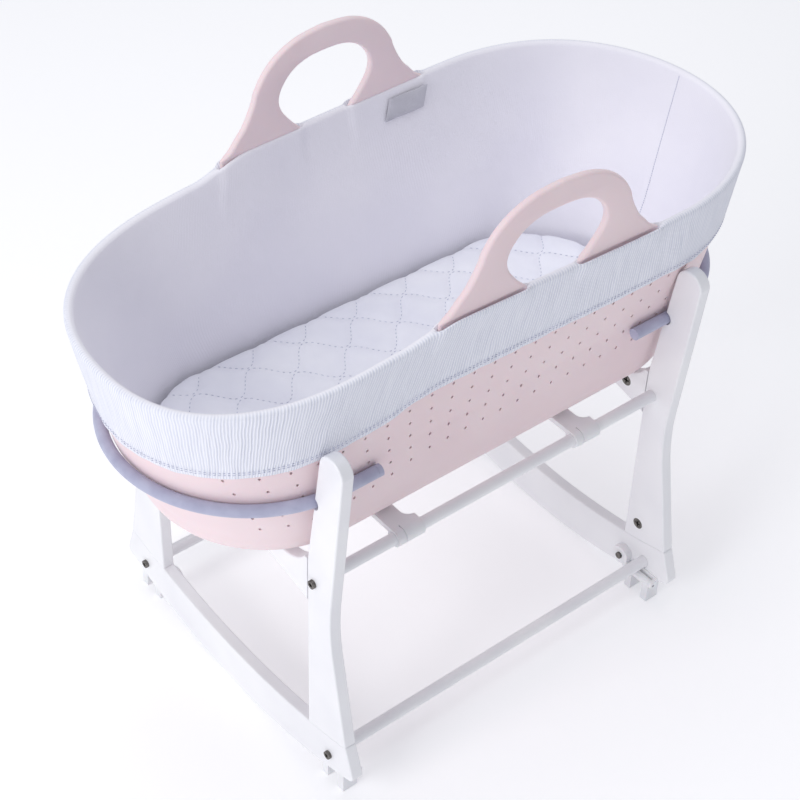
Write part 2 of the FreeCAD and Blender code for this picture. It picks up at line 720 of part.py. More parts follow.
def hoop_tube(name, end, dia, bore=None):
    """A round tube that runs along one side, round the basket's end and back."""
    way = ENDS[end]
    centre = S["hoop_reach"] - S["hoop_radius"]
    start = S["hoop_end"]
    radius = S["hoop_radius"]
    body = DOC.addObject("PartDesign::Body", name + "_body")
    path = body.newObject("Sketcher::SketchObject", name + "_path")
    path.AttachmentSupport = [(origin_plane(body, "XY_Plane"), "")]
    path.MapMode = "FlatFace"
    a, b = Vector(way * start.value, -radius.value, 0), Vector(way * centre.value, -radius.value, 0)
    c, d = Vector(way * centre.value, radius.value, 0), Vector(way * start.value, radius.value, 0)
    crown = Vector(way * S["hoop_reach"].value, 0, 0)
    path.addGeometry(Part.LineSegment(a, b))
    path.addGeometry(Part.Arc(b, crown, c))
    path.addGeometry(Part.LineSegment(c, d))
    near_end, far_end = (1, 2) if (path.getPoint(1, 1) - b).Length < 1e-6 else (2, 1)
    path.addConstraint(Sketcher.Constraint("Coincident", 0, 2, 1, near_end))
    path.addConstraint(Sketcher.Constraint("Coincident", 1, far_end, 2, 1))
    spots = ((0, 1, start, -radius), (0, 2, centre, -radius), (2, 1, centre, radius), (2, 2, start, radius))
    for edge, vertex, along, across in spots:
        for kind, size in (("DistanceX", way * along), ("DistanceY", across)):
            index = path.addConstraint(Sketcher.Constraint(kind, -1, 1, edge, vertex, size.value))
            path.setExpression(f"Constraints[{index}]", size.text)
    index = path.addConstraint(Sketcher.Constraint("DistanceX", -1, 1, 1, 3, way * centre.value))
    path.setExpression(f"Constraints[{index}]", (way * centre).text)
    ring = body.newObject("Sketcher::SketchObject", name + "_section")
    ring.AttachmentSupport = [(origin_plane(body, "YZ_Plane"), "")]
    ring.MapMode = "FlatFace"
    bind(ring, AttachmentOffset__Base__z=way * start)
    for size in ([dia] if bore is None else [dia, bore]):
        edge = ring.addGeometry(Part.Circle(Vector(-radius.value, 0, 0), Vector(0, 0, 1), size.value / 2))
        for kind, value in (("DistanceX", -radius), ("DistanceY", ZERO)):
            index = ring.addConstraint(Sketcher.Constraint(kind, -1, 1, edge, 3, value.value))
            ring.setExpression(f"Constraints[{index}]", value.text)
        index = ring.addConstraint(Sketcher.Constraint("Diameter", edge, size.value))
        ring.setExpression(f"Constraints[{index}]", size.text)
    pipe = body.newObject("PartDesign::AdditivePipe", name + "_pipe")
    pipe.Profile = ring
    pipe.Spine = (path, ["Edge1", "Edge2", "Edge3"])
    body.Tip = pipe
    place(body, 0, 0, S["hoop_up"])
    return body


def make_hoop(end):
    """A steel hoop in a foam sleeve, with a round cap at each of its ends."""
    core = hoop_tube(f"hoop_core_{end}_bar", end, S["hoop_core_dia"])
    sleeve = hoop_tube(f"hoop_sleeve_{end}_tube", end, S["hoop_dia"], S["hoop_core_dia"] + S["sleeve_gap"])
    for node, bar, mark in ((f"hoop_core_{end}", core, "core"), (f"hoop_sleeve_{end}", sleeve, "sleeve")):
        holes = [hoop_screw(f"hoop_{mark}_{end}_{side}_hole", end, side, S["socket_gap"]) for side in SIDES]
        publish(cut(node, bar, holes), node)


def make_hoop_fittings():
    screws, caps = [], []
    for end, way in ENDS.items():
        for side, hand in SIDES.items():
            mark = f"{end}_{side}"
            screws.append(hoop_screw(f"hoop_screw_{mark}", end, side))
            caps.append(cylinder(f"hoop_cap_{mark}", S["hoop_dia"], S["hoop_cap"],
                                 (way * (S["hoop_end"] - S["turn_gap"]), hand * S["hoop_radius"],
                                  S["hoop_up"]), (-way, 0, 0)))
    publish(group("hoop_screw_group", screws), "hoop_screws")
    publish(group("hoop_cap_group", caps), "hoop_end_caps")


# ---------------------------------------------------------------- flip-down stops

def off_face(end, depth):
    """X at a distance from an end frame's inner face, towards the middle of the stand."""
    return frame_x(end, -depth)


def slab(name, end, near, far, y_low, y_high, z_low, z_high, hand):
    """A box between two distances off an end frame's inner face."""
    x = off_face(end, far) if ENDS[end] > 0 else off_face(end, near)
    y = y_low if hand > 0 else -y_high
    return box(name, (x, y, z_low), far - near, y_high - y_low, z_high - z_low)


def foot_spans():
    """The stretches across the rocker that the inner and the outer foot take up."""
    return ((S["foot_in"], S["foot_in"] + S["foot_wide"]), (S["foot_out"] - S["foot_wide"], S["foot_out"]))


def make_stop_bracket(end, side):
    mark = f"stop_bracket_{end}_{side}"
    hand = SIDES[side]
    inward = (-ENDS[end], 0, 0)
    gap = S["turn_gap"]
    inner_low = S["foot_in"] - gap - S["knuckle_wide"]
    outer_high = S["foot_out"] + gap + S["knuckle_wide"]
    boss = cylinder(mark + "_boss", S["boss_dia"], S["boss_thick"],
                    (off_face(end, 0), hand * S["boss_out"], S["boss_up"]), inward)
    parts = [boss, slab(mark + "_back", end, ZERO, S["back_thick"], S["boss_out"], outer_high,
                        S["back_low"], S["back_high"], hand)]
    for i, low in enumerate((inner_low, outer_high - S["knuckle_wide"])):
        at = (off_face(end, S["hinge_off"]), hand * low, S["hinge_up"])
        parts.append(cylinder(f"{mark}_knuckle{i}", S["barrel_dia"], S["knuckle_wide"], at, (0, hand, 0)))
        parts.append(slab(f"{mark}_web{i}", end, ZERO, S["hinge_off"], low, low + S["knuckle_wide"],
                          S["hinge_up"] - S["barrel_dia"] / 2, S["hinge_up"] + S["barrel_dia"] / 2, hand))
    pin_hole = cylinder(mark + "_pin_hole", S["hinge_pin_dia"] + S["thread_gap"], outer_high - inner_low + 2,
                        (off_face(end, S["hinge_off"]), hand * (inner_low - 1), S["hinge_up"]), (0, hand, 0))
    screw_hole = cylinder(mark + "_screw_hole", S["stop_screw_dia"] + S["thread_gap"], S["boss_thick"] + 2,
                          (off_face(end, -1), hand * S["boss_out"], S["boss_up"]), inward)
    return cut(mark, fuse(mark + "_solid", parts), [pin_hole, screw_hole])


def make_stop_screw(end, side):
    mark = f"stop_screw_{end}_{side}"
    hand = SIDES[side]
    inward = (-ENDS[end], 0, 0)
    deep = S["board_thick"] / 2
    shank = cylinder(mark + "_shank", S["stop_screw_dia"], S["boss_thick"] + deep,
                     (off_face(end, -deep), hand * S["boss_out"], S["boss_up"]), inward)
    head = cylinder(mark + "_head", S["stop_head_dia"], S["stop_head_high"],
                    (off_face(end, S["boss_thick"]), hand * S["boss_out"], S["boss_up"]), inward)
    return fuse(mark, [shank, head])


def make_stop_pin(end, side):
    hand = SIDES[side]
    low = S["foot_in"] - S["turn_gap"] - S["knuckle_wide"]
    high = S["foot_out"] + S["turn_gap"] + S["knuckle_wide"]
    return cylinder(f"stop_pin_{end}_{side}", S["hinge_pin_dia"], high - low,
                    (off_face(end, S["hinge_off"]), hand * low, S["hinge_up"]), (0, hand, 0))


def make_stop(end, side):
    """The arched stop that folds down under the rocker, one foot each side of the lower rail."""
    name = f"stop_{end}_{side}"
    hand = SIDES[side]
    axis_x = S["hinge_off"]
    near, far = axis_x - S["stop_plate"] / 2, axis_x + S["stop_plate"] / 2
    parts = [cylinder(name + "_barrel", S["barrel_dia"], S["foot_out"] - S["foot_in"],
                      (off_face(end, axis_x), hand * S["foot_in"], S["hinge_up"]), (0, hand, 0)),
             slab(name + "_plate", end, near, far, S["foot_in"], S["foot_out"], ZERO, S["hinge_up"], hand)]
    for i, (low, high) in enumerate(foot_spans()):
        top = rocker_foot(low) - S["shoe_gap"]
        parts.append(slab(f"{name}_shoe{i}", end, -S["shoe_under"], far, low, high, ZERO, top, hand))
    (_, arch_low), (arch_high, _) = foot_spans()
    arch = slab(name + "_arch", end, -S["shoe_under"], far + 1, arch_low, arch_high, -Size.of(1),
                S["arch_up"], hand)
    bore = cylinder(name + "_bore", S["hinge_pin_dia"] + S["turn_gap"], S["foot_out"] - S["foot_in"] + 2,
                    (off_face(end, axis_x), hand * (S["foot_in"] - 1), S["hinge_up"]), (0, hand, 0))
    publish(cut(name, fuse(name + "_solid", parts), [arch, bore]), name)


# ---------------------------------------------------------------- basket

ROUND_STEPS = 5                     # sections round the shell's lower edge
END_STEPS = 12                      # spans of an oval's end
FLANK_SHARES = (0.95, 0.85, 0.5, 0, -0.5, -0.85, -0.95)
FAR = 1000.0                        # more than the basket's reach


def basket_levels(offset):
    """The basket's sections from the floor up: (height, half length, half width, end length).

    Offset moves every wall outwards. The end length is that of the elliptic end.
    """
    levels = []
    radius = V["base_round"] + offset
    centre_up = V["base_up"] + V["base_round"]
    for step in range(ROUND_STEPS):
        angle = math.radians(90 - 90 * step / ROUND_STEPS)
        out = radius * math.cos(angle) - V["base_round"]
        levels.append((centre_up - radius * math.sin(angle), V["base_half_long"] + out,
                       V["base_half_wide"] + out, V["base_end"] + out))
    levels.append((centre_up, V["base_half_long"] + offset, V["base_half_wide"] + offset,
                   V["base_end"] + offset))
    for level in ("waist", "hem", "rim"):
        levels.append((V[level + "_up"], V[level + "_half_long"] + offset, V[level + "_half_wide"] + offset,
                       V[level + "_end"] + offset))
    flare = V["over_rim"] * side_lean()
    up, half_long, half_wide, end_long = levels[-1]
    levels.append((up + V["over_rim"], half_long + flare, half_wide + flare, end_long + flare))
    return levels


def side_lean():
    """How far the basket's upper side wall leans out for each millimetre of height."""
    return (V["rim_half_wide"] - V["hem_half_wide"]) / (V["rim_up"] - V["hem_up"])


def oval(up, half_long, half_wide, end_long):
    """A long oval: straight sides with a half ellipse at each end."""
    flank = half_long - end_long
    points = []
    for way in (1, -1):
        for step in range(END_STEPS + 1):
            angle = math.pi * (step / END_STEPS - 0.5)
            along = flank + end_long * math.cos(angle)
            points.append(Vector(way * along, way * half_wide * math.sin(angle), up))
        for share in FLANK_SHARES:
            points.append(Vector(way * flank * share, way * half_wide, up))
    curve = Part.BSplineCurve()
    curve.interpolate(Points=points, PeriodicFlag=True)
    return Part.Wire([curve.toShape()])


def basket_form(offset):
    """The basket's outer form moved out by an offset, closed top and bottom."""
    return Part.makeLoft([oval(*level) for level in basket_levels(offset)], True, True)


def rim_up(x):
    """Height of the liner's rim at a place along the basket."""
    foot, head = -V["rim_half_long"], V["rim_half_long"]
    if x < V["dip_from"]:
        share = (x - foot) / (V["dip_from"] - foot)
        return V["foot_tip_up"] + share * (V["side_tail_up"] - V["foot_tip_up"])
    if x < V["dip_to"]:
        share = (x - V["dip_from"]) / (V["dip_to"] - V["dip_from"])
        smooth = share * share * (3 - 2 * share)
        return V["side_tail_up"] + smooth * (V["side_head_up"] - V["side_tail_up"])
    share = max(0.0, (x - V["head_fall_from"]) / (head - V["head_fall_from"]))
    return V["side_head_up"] - share * share * (V["side_head_up"] - V["head_tip_up"])


RIM_STEPS = 36


def below(drop):
    """Everything in the basket's reach that lies lower than its rim let down by a drop."""
    reach = V["rim_half_long"] + V["over_rim"]
    points = []
    for step in range(RIM_STEPS + 1):
        x = reach * (2 * step / RIM_STEPS - 1)
        points.append(Vector(x, 0, rim_up(x) - drop))
    curve = Part.BSplineCurve()
    curve.interpolate(Points=points)
    corners = [points[-1], Vector(reach, 0, 0), Vector(-reach, 0, 0), points[0]]
    edges = [curve.toShape()] + [Part.makeLine(a, b) for a, b in zip(corners, corners[1:])]
    face = Part.Face(Part.Wire(edges))
    face.translate(Vector(0, -FAR / 2, 0))
    return face.extrude(Vector(0, FAR, 0))


def handle_plate(hand, spare):
    """One flat carrying loop of the shell, grown by a spare thickness all round."""
    mid = V["handle_mid"]
    foot = V["handle_half_foot"] + spare
    neck = V["handle_half_neck"] + spare
    root = V["handle_root_up"] - spare
    neck_up = V["handle_neck_up"]
    top = V["handle_top_up"] + spare
    rim = V["side_head_up"] - V["rim_roll"]
    edges = []
    for way in (1, -1):
        side = Part.BSplineCurve()
        side.interpolate(Points=[
            Vector(mid + way * foot, 0, rim),
            Vector(mid + way * foot * V["handle_knee"], 0, rim + V["handle_knee_rise"]),
            Vector(mid + way * (neck + V["handle_cheek"]), 0, neck_up - V["handle_cheek_drop"]),
            Vector(mid + way * neck, 0, neck_up)])
        edges.append(side.toShape())
    crown = Part.BSplineCurve()
    crown.interpolate(Points=arc_points(mid, neck_up, neck, top - neck_up, 0, 180))
    edges.append(crown.toShape())
    corners = [Vector(mid - foot, 0, rim), Vector(mid - foot, 0, root), Vector(mid + foot, 0, root),
               Vector(mid + foot, 0, rim)]
    edges += [Part.makeLine(a, b) for a, b in zip(corners, corners[1:])]
    face = Part.Face(Part.Wire(Part.__sortEdges__(edges)))
    thick = V["handle_thick"] + 2 * spare
    plate = face.extrude(Vector(0, thick, 0))
    plate.translate(Vector(0, -thick / 2, 0))
    plate.rotate(Vector(0, 0, root), Vector(1, 0, 0), V["handle_lean"])
    plate.translate(Vector(0, V["rim_half_wide"] - V["shell_wall"] / 2, 0))
    if hand < 0:
        plate = plate.mirror(Vector(0, 0, 0), Vector(0, 1, 0))
    return plate


def arc_points(mid, up, half_wide, high, first, last):
    """Points each 20 degrees round an ellipse that stands along the basket."""
    points = []
    for angle in range(first, last + 1, 20):
        turn = math.radians(angle)
        points.append(Vector(mid + half_wide * math.cos(turn), 0, up + high * math.sin(turn)))
    return points


def grip_hole(hand):
    """The finger opening of a handle: a flat half ellipse above and a taller one below."""
    mid, up, half = V["handle_mid"], V["grip_mid_up"], V["grip_half_wide"]
    points = arc_points(mid, up, half, V["grip_rise"], 0, 180)
    points += arc_points(mid, up, half, V["grip_fall"], 200, 340)
    curve = Part.BSplineCurve()
    curve.interpolate(Points=points, PeriodicFlag=True)
    face = Part.Face(Part.Wire([curve.toShape()]))
    return face.extrude(Vector(0, hand * FAR, 0))


def solid_feature(label, shape):
    feature = DOC.addObject("Part::Feature", label)
    feature.Shape = shape
    return publish(feature, label)


def floor_up():
    """Height of the stiffener's upper face with its gap, where the lining lies."""
    return V["base_up"] + V["shell_wall"] + V["stiffener_thick"] + 2 * V["board_gap"]


def under(up):
    """The space below a height."""
    return Part.makeBox(2 * FAR, 2 * FAR, up, Vector(-FAR, -FAR, 0))


def make_shell():
    """The moulded foam shell: an oval tub with two carrying loops."""
    tub = basket_form(0).cut(basket_form(-V["shell_wall"])).common(below(V["rim_roll"] + V["cloth_gap"]))
    for hand in SIDES.values():
        tub = tub.fuse(handle_plate(hand, 0).cut(grip_hole(hand)))
    solid_feature("basket_shell", largest(tub))


def make_liner():
    """The cloth lining, folded out over the shell's rim and down its outside."""
    gap = V["cloth_gap"]
    face = -V["shell_wall"] - gap
    hollow = basket_form(face - V["lining_thick"])
    fold = basket_form(gap + V["skirt_thick"]).common(below(0)).cut(below(V["hem_drop"]))
    fold = fold.cut(basket_form(gap).common(below(V["rim_roll"]))).cut(hollow)
    hollow = hollow.cut(under(floor_up() + V["lining_thick"]))
    lining = basket_form(face).cut(hollow).common(below(V["rim_roll"] - 1)).cut(under(floor_up()))
    liner = fold.fuse(lining)
    for hand in SIDES.values():
        liner = liner.cut(handle_plate(hand, gap))
    solid_feature("liner", largest(liner))


def largest(shape):
    return max(shape.Solids, key=lambda solid: solid.Volume)


def make_tag():
    """A small woven tag on the left-hand side of the lining, just under the rim."""
    wall = V["rim_half_wide"] - side_lean() * (V["rim_up"] - V["tag_up"])
    face = wall - V["shell_wall"] - V["cloth_gap"] - V["lining_thick"] - V["tag_gap"]
    long, thick, high = V["tag_long"], V["tag_thick"], V["tag_high"]
    tag = Part.makeBox(long, thick, high, Vector(-long / 2, -thick, -high))
    tag.rotate(Vector(0, 0, 0), Vector(1, 0, 0), -math.degrees(math.atan(side_lean())))
    tag.rotate(Vector(0, 0, 0), Vector(0, 1, 0), -V["tag_turn"])
    tag.translate(Vector(V["tag_mid"], face, V["tag_up"]))
    solid_feature("liner_tag", tag)


def make_stiffener():
    """A flat board in the bottom of the basket."""
    inset = V["stiffener_inset"]
    wire = oval(V["base_up"] + V["shell_wall"] + V["board_gap"], V["base_half_long"] - inset,
                V["base_half_wide"] - inset, V["base_end"] - inset)
    solid_feature("base_stiffener", Part.Face(wire).extrude(Vector(0, 0, V["stiffener_thick"])))


def mattress_form(shrink):
    low = floor_up() + V["lining_thick"] + V["mattress_gap"] + shrink
    wire = oval(low, V["mattress_half_long"] - shrink, V["mattress_half_wide"] - shrink,
                V["mattress_end"] - shrink)
    pad = Part.Face(wire).extrude(Vector(0, 0, V["mattress_thick"] - 2 * shrink))
    pad.translate(Vector(V["mattress_shift"], 0, 0))
    bottom = [edge for edge in pad.Edges if edge.BoundBox.ZMax - low < 0.01]
    return pad.makeFillet(V["mattress_round"], bottom)


def make_mattress():
    cover = mattress_form(0).cut(mattress_form(V["cover_thick"]))
    solid_feature("mattress_cover", largest(cover))
    solid_feature("mattress_core", mattress_form(V["cover_thick"] + V["turn_gap"]))


# ---------------------------------------------------------------- the whole object

def build():
    for end in ENDS:
        make_rocker(end)
        make_tie(end)
        for side in SIDES:
            make_leg(end, side)
            make_stop(end, side)
        make_cradle_bar(end)
        make_hoop(end)
    make_rails()
    make_joinery()
    make_hoop_fittings()
    corners = [(end, side) for end in ENDS for side in SIDES]
    publish(group("bracket_group", [make_stop_bracket(*c) for c in corners]), "stop_brackets")
    publish(group("stop_screw_group", [make_stop_screw(*c) for c in corners]), "stop_screws")
    publish(group("stop_pin_group", [make_stop_pin(*c) for c in corners]), "stop_pins")
    make_shell()
    make_liner()
    make_tag()
    make_stiffener()
    make_mattress()


def check_and_export():
    DOC.recompute()
    failed = [o.Name for o in DOC.Objects if "Invalid" in o.State or "Error" in o.State]
    if failed:
        raise RuntimeError("failed objects: " + ", ".join(failed))
    for label, obj in nodes.items():
        shape = obj.Shape
        if shape.isNull() or not shape.isValid() or not shape.Solids:
            raise RuntimeError("bad shape: " + label)
    os.makedirs("parts", exist_ok=True)
    for label, obj in nodes.items():
        obj.Shape.exportStep(f"parts/{label}.step")
        print(f"{label}: {len(obj.Shape.Solids)} solids, {obj.Shape.Volume / 1000:.1f} cm3")


build()
check_and_export()
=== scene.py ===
"""Bassinet on a rocking stand: shell, cloth, quilting, stitches and finishes round a fixed frame.

The frame is in metres, +X to the head end and +Z up. Sizes here are in millimetres
unless a property says otherwise, and MM turns them to metres.
"""
import math

import bmesh
import bpy
from mathutils import Matrix, Vector, noise


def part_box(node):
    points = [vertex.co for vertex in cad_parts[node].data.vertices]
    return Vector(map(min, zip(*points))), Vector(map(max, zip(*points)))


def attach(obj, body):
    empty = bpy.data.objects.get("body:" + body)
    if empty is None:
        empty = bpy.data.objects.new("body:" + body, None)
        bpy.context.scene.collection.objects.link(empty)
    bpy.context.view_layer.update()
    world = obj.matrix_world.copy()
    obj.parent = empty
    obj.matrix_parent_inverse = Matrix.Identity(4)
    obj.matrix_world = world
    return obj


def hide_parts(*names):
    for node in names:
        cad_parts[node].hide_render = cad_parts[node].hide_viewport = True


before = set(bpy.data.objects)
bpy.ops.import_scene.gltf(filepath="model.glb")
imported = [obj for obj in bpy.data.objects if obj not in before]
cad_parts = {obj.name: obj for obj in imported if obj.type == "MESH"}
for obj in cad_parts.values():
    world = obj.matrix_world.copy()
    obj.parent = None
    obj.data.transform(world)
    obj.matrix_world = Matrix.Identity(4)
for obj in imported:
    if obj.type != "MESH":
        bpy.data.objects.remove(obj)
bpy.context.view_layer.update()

bl_info = {
    "name": "Bassinet on rocking stand",
    "version": (1, 0, 0),
    "blender": (4, 5, 0),
    "location": "View3D > Sidebar > Bassinet",
    "description": "Builds the soft parts and finishes of a bassinet round its frame",
    "category": "Object",
}

MM = 0.001
SIDES = {"left": 1, "right": -1}

# Levels of the shell's outer wall, worked from the frame's boxes.
SHELL_LOW, SHELL_HIGH = (tuple(value / MM for value in corner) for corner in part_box("basket_shell"))
PAD_LOW, PAD_HIGH = (tuple(value / MM for value in corner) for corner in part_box("mattress_cover"))
TAG_LOW, TAG_HIGH = (tuple(value / MM for value in corner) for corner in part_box("liner_tag"))
FLOOR = SHELL_LOW[2]
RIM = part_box("liner")[1][2] / MM
TOP = SHELL_HIGH[2]
HOOP = sum(corner[2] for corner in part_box("hoop_sleeve_foot")) / 2 / MM

WALL = 5.0                      # thickness of the moulded wall
ROUND = 41.0                    # rounded lower edge
# (height over the floor of the basket, half length, half width, length of the oval's end)
LEVELS = (
    (ROUND, 363.0, 148.0, 148.0),
    (HOOP - FLOOR, 389.0, 156.5, 154.0),
    (199.0, 407.0, 174.0, 185.0),
    (281.0, 420.0, 190.0, 217.0),
    (311.0, 424.8, 195.9, 222.9),
)
FOOT_FULL = 2.4                 # how square the foot end's corners are at the rim; 2 is an ellipse
FOOT_NARROW, HEAD_WIDE = -6.0, 5.0      # the rim's half width against the middle's, at each end
DIP_FROM, DIP_TO = -185.0, -105.0       # the rim steps down here, behind the handles
FOOT_TIP, FOOT_SIDE = -41.5, -16.5      # rim heights from its highest stretch
HEAD_TIP, HEAD_FALL = -5.5, 300.0
HANDLE_MID = {1: 7.0, -1: 17.0}         # the loops stand a little off each other
HANDLE_LEAN = math.radians(-1.4)
HANDLE_TURN = math.radians(1.9)         # the flanks open toward the head end


# ---------------------------------------------------------------- shapes

def smooth_step(value):
    value = min(max(value, 0.0), 1.0)
    return value * value * (3 - 2 * value)


def mix(low, high, share):
    return low + (high - low) * share


def hermite(low, high, slope_low, slope_high, gap, share):
    """A cubic between two values with a slope at each."""
    square, cube = share ** 2, share ** 3
    return ((2 * cube - 3 * square + 1) * low + (cube - 2 * square + share) * gap * slope_low
            + (3 * square - 2 * cube) * high + (cube - square) * gap * slope_high)


def wall_at(up):
    """Half length, half width and end length of the shell's wall at a height over its floor."""
    last = len(LEVELS) - 1
    index = 0
    while index < last - 1 and up > LEVELS[index + 1][0]:
        index += 1
    low, high = LEVELS[index], LEVELS[index + 1]
    gap = high[0] - low[0]
    before, after = LEVELS[max(index - 1, 0)], LEVELS[min(index + 2, last)]
    result = []
    for i in (1, 2, 3):
        slope_low = (high[i] - before[i]) / (high[0] - before[0])
        slope_high = (after[i] - low[i]) / (after[0] - low[0])
        result.append(hermite(low[i], high[i], slope_low, slope_high, gap, (up - low[0]) / gap))
    return result


def spots(end_steps, flank_steps):
    """Columns round the oval, each as (which end, share along, share across, whether on an end)."""
    columns = []
    for way in (1, -1):
        for step in range(end_steps):
            angle = math.pi * (step / end_steps - 0.5)
            columns.append((way, way * math.cos(angle), way * math.sin(angle), True))
        for step in range(flank_steps):
            share = way * (1 - 2 * step / flank_steps)
            columns.append((way, share, way, False))
    return columns


def on_oval(column, half_long, half_wide, end_long):
    way, along, across, is_end = column
    flank = half_long - end_long
    x = way * flank + end_long * along if is_end else flank * along
    return x, half_wide * across


def rim_at(x):
    """Height of the liner's rim at a place along the basket."""
    reach = LEVELS[3][1]
    if x < DIP_FROM:
        return RIM + mix(FOOT_TIP, FOOT_SIDE, smooth_foot((x + reach) / (DIP_FROM + reach)))
    if x < DIP_TO:
        return RIM + FOOT_SIDE * (1 - smooth_step((x - DIP_FROM) / (DIP_TO - DIP_FROM)))
    share = max(0.0, (x - HEAD_FALL) / (reach - HEAD_FALL))
    return RIM + HEAD_TIP * share * share


def smooth_foot(share):
    """Rises quickly from the foot's tip, then evenly."""
    share = max(share, 0.0)
    return mix(share, math.sqrt(share), 0.15)


def rim_heights(columns):
    sizes = wall_at(LEVELS[3][0])
    return [rim_at(on_oval(column, *sizes)[0]) for column in columns]


def bottom_rings(columns, offset, count):
    """Rings from the middle of the floor out to the rounded edge, then up round it."""
    rings = []
    radius = ROUND + offset
    _, half_long, half_wide, end_long = LEVELS[0]
    flat = half_wide - ROUND
    up = FLOOR + ROUND - radius
    for step in range(count):
        inset = ROUND + flat * (1 - step / count)
        sizes = (half_long - inset, half_wide - inset, max(end_long - inset, 0.0))
        rings.append([(*on_oval(column, *sizes), up) for column in columns])
    for step in range(count + 1):
        angle = math.pi / 2 * (1 - step / count)
        out = radius * math.cos(angle) - ROUND
        sizes = (half_long + out, half_wide + out, end_long + out)
        height = FLOOR + ROUND - radius * math.sin(angle)
        rings.append([(*on_oval(column, *sizes), height) for column in columns])
    return rings


def wall_ring(columns, offsets, heights):
    """One ring up the wall, with an offset outwards and a height for each column."""
    ring = []
    for column, offset, height in zip(columns, offsets, heights):
        sizes = [size + offset for size in wall_at(height - FLOOR)]
        ring.append((*plan_at(*on_oval(column, *sizes), sizes, height), height))
    return ring


def plan_at(x, y, sizes, height):
    """Squares the foot end's corners and opens the flanks toward the head, up to the rim."""
    half_long, half_wide, end_long = sizes
    share = smooth_step((height - HOOP) / (RIM + FOOT_SIDE - HOOP))
    flank = half_long - end_long
    if x < -flank:
        along, across = (-flank - x) / end_long, abs(y) / half_wide
        power = mix(2.0, FOOT_FULL, share)
        grown = (along ** power + across ** power) ** (-1 / power)
        x, y = -flank - along * grown * end_long, y * grown
    wider = mix(FOOT_NARROW, HEAD_WIDE, smooth_step((x + flank) / (2 * flank)))
    return x, y * (1 + share * wider / half_wide)


def between(lows, highs, share):
    return [mix(low, high, share) for low, high in zip(lows, highs)]


def lengths_round(ring):
    """Distance round a ring of points, in metres, at each column and at the end."""
    total, result = 0.0, [0.0]
    for here, there in zip(ring, ring[1:] + ring[:1]):
        total += math.dist(here, there) * MM
        result.append(total)
    return result


def skin(name, rings, along=None):
    """A mesh of quads between rings. Along gives the cloth's own UV map in metres."""
    count = len(rings[0])
    mesh = bpy.data.meshes.new(name)
    points = [Vector(point) * MM for ring in rings for point in ring]
    faces = []
    for row in range(len(rings) - 1):
        for column in range(count):
            after = (column + 1) % count
            faces.append((row * count + column, row * count + after,
                          (row + 1) * count + after, (row + 1) * count + column))
    mesh.from_pydata(points, [], faces)
    if along is not None:
        down, total = [0.0], 0.0
        for ring, following in zip(rings, rings[1:]):
            total += math.dist(ring[0], following[0]) * MM
            down.append(total)
        uv_map = mesh.uv_layers.new(name="cloth").data
        for index, face in enumerate(mesh.polygons):
            row, column = divmod(index, count)
            corners = ((column, row), (column + 1, row), (column + 1, row + 1), (column, row + 1))
            for loop, (u, v) in zip(face.loop_indices, corners):
                uv_map[loop].uv = (along[u], down[v])
    return mesh


def weld(mesh, distance=0.05):
    """Merges doubled points, drops empty faces and turns every face outwards."""
    work = bmesh.new()
    work.from_mesh(mesh)
    bmesh.ops.remove_doubles(work, verts=work.verts, dist=distance * MM)
    bmesh.ops.dissolve_degenerate(work, edges=work.edges, dist=0.01 * MM)
    bmesh.ops.recalc_face_normals(work, faces=work.faces)
    work.to_mesh(mesh)
    work.free()
    return mesh


def new_piece(name, mesh):
    piece = bpy.data.objects.new(name, mesh)
    bpy.context.scene.collection.objects.link(piece)
    return piece


def settle(piece):
    """Makes the result of a piece's modifiers its own mesh and removes them."""
    bpy.context.view_layer.update()
    graph = bpy.context.evaluated_depsgraph_get()
    mesh = bpy.data.meshes.new_from_object(piece.evaluated_get(graph))
    piece.modifiers.clear()
    old = piece.data
    piece.data = mesh
    if old.users == 0:
        bpy.data.meshes.remove(old)
    return piece


def shade(piece, angle=40.0):
    piece.data.shade_smooth()
    piece.data.set_sharp_from_angle(angle=math.radians(angle))


def finish_piece(piece, body, finish, slot, *stands_for):
    """Gives a piece its material and the body it rides on, and hides the nodes it stands for."""
    piece.data.materials.clear()
    piece.data.materials.append(finish)
    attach(piece, body)
    if stands_for:
        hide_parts(*stands_for)
    return piece


def modifier(piece, kind, **settings):
    made = piece.modifiers.new(kind.title(), kind)
    for key, value in settings.items():
        setattr(made, key, value)
    return made


# ---------------------------------------------------------------- geometry node trees

def add(tree, kind, settings=None, inputs=None):
    """Adds a node with its settings, and its inputs as values or as links from other sockets."""
    made = tree.nodes.new(kind)
    for key, value in (settings or {}).items():
        setattr(made, key, value)
    for key, value in (inputs or {}).items():
        if isinstance(value, bpy.types.NodeSocket):
            tree.links.new(value, made.inputs[key])
        else:
            made.inputs[key].default_value = value
    return made


def node_group(name, sizes):
    """An empty geometry tree with a geometry socket each way and named size inputs."""
    tree = bpy.data.node_groups.new(name, "GeometryNodeTree")
    tree.interface.new_socket("Geometry", in_out="INPUT", socket_type="NodeSocketGeometry")
    tree.interface.new_socket("Geometry", in_out="OUTPUT", socket_type="NodeSocketGeometry")
    for label, value in sizes.items():
        socket = tree.interface.new_socket(label, in_out="INPUT", socket_type="NodeSocketFloat")
        socket.default_value = value
        socket.subtype = "DISTANCE"
    return tree, add(tree, "NodeGroupInput"), add(tree, "NodeGroupOutput")


def turned_along(tree, way):
    """A rotation that stands an instance's Z axis along a direction."""
    made = add(tree, "FunctionNodeAlignRotationToVector", {"axis": "Z"}, {"Vector": way})
    return made.outputs["Rotation"]


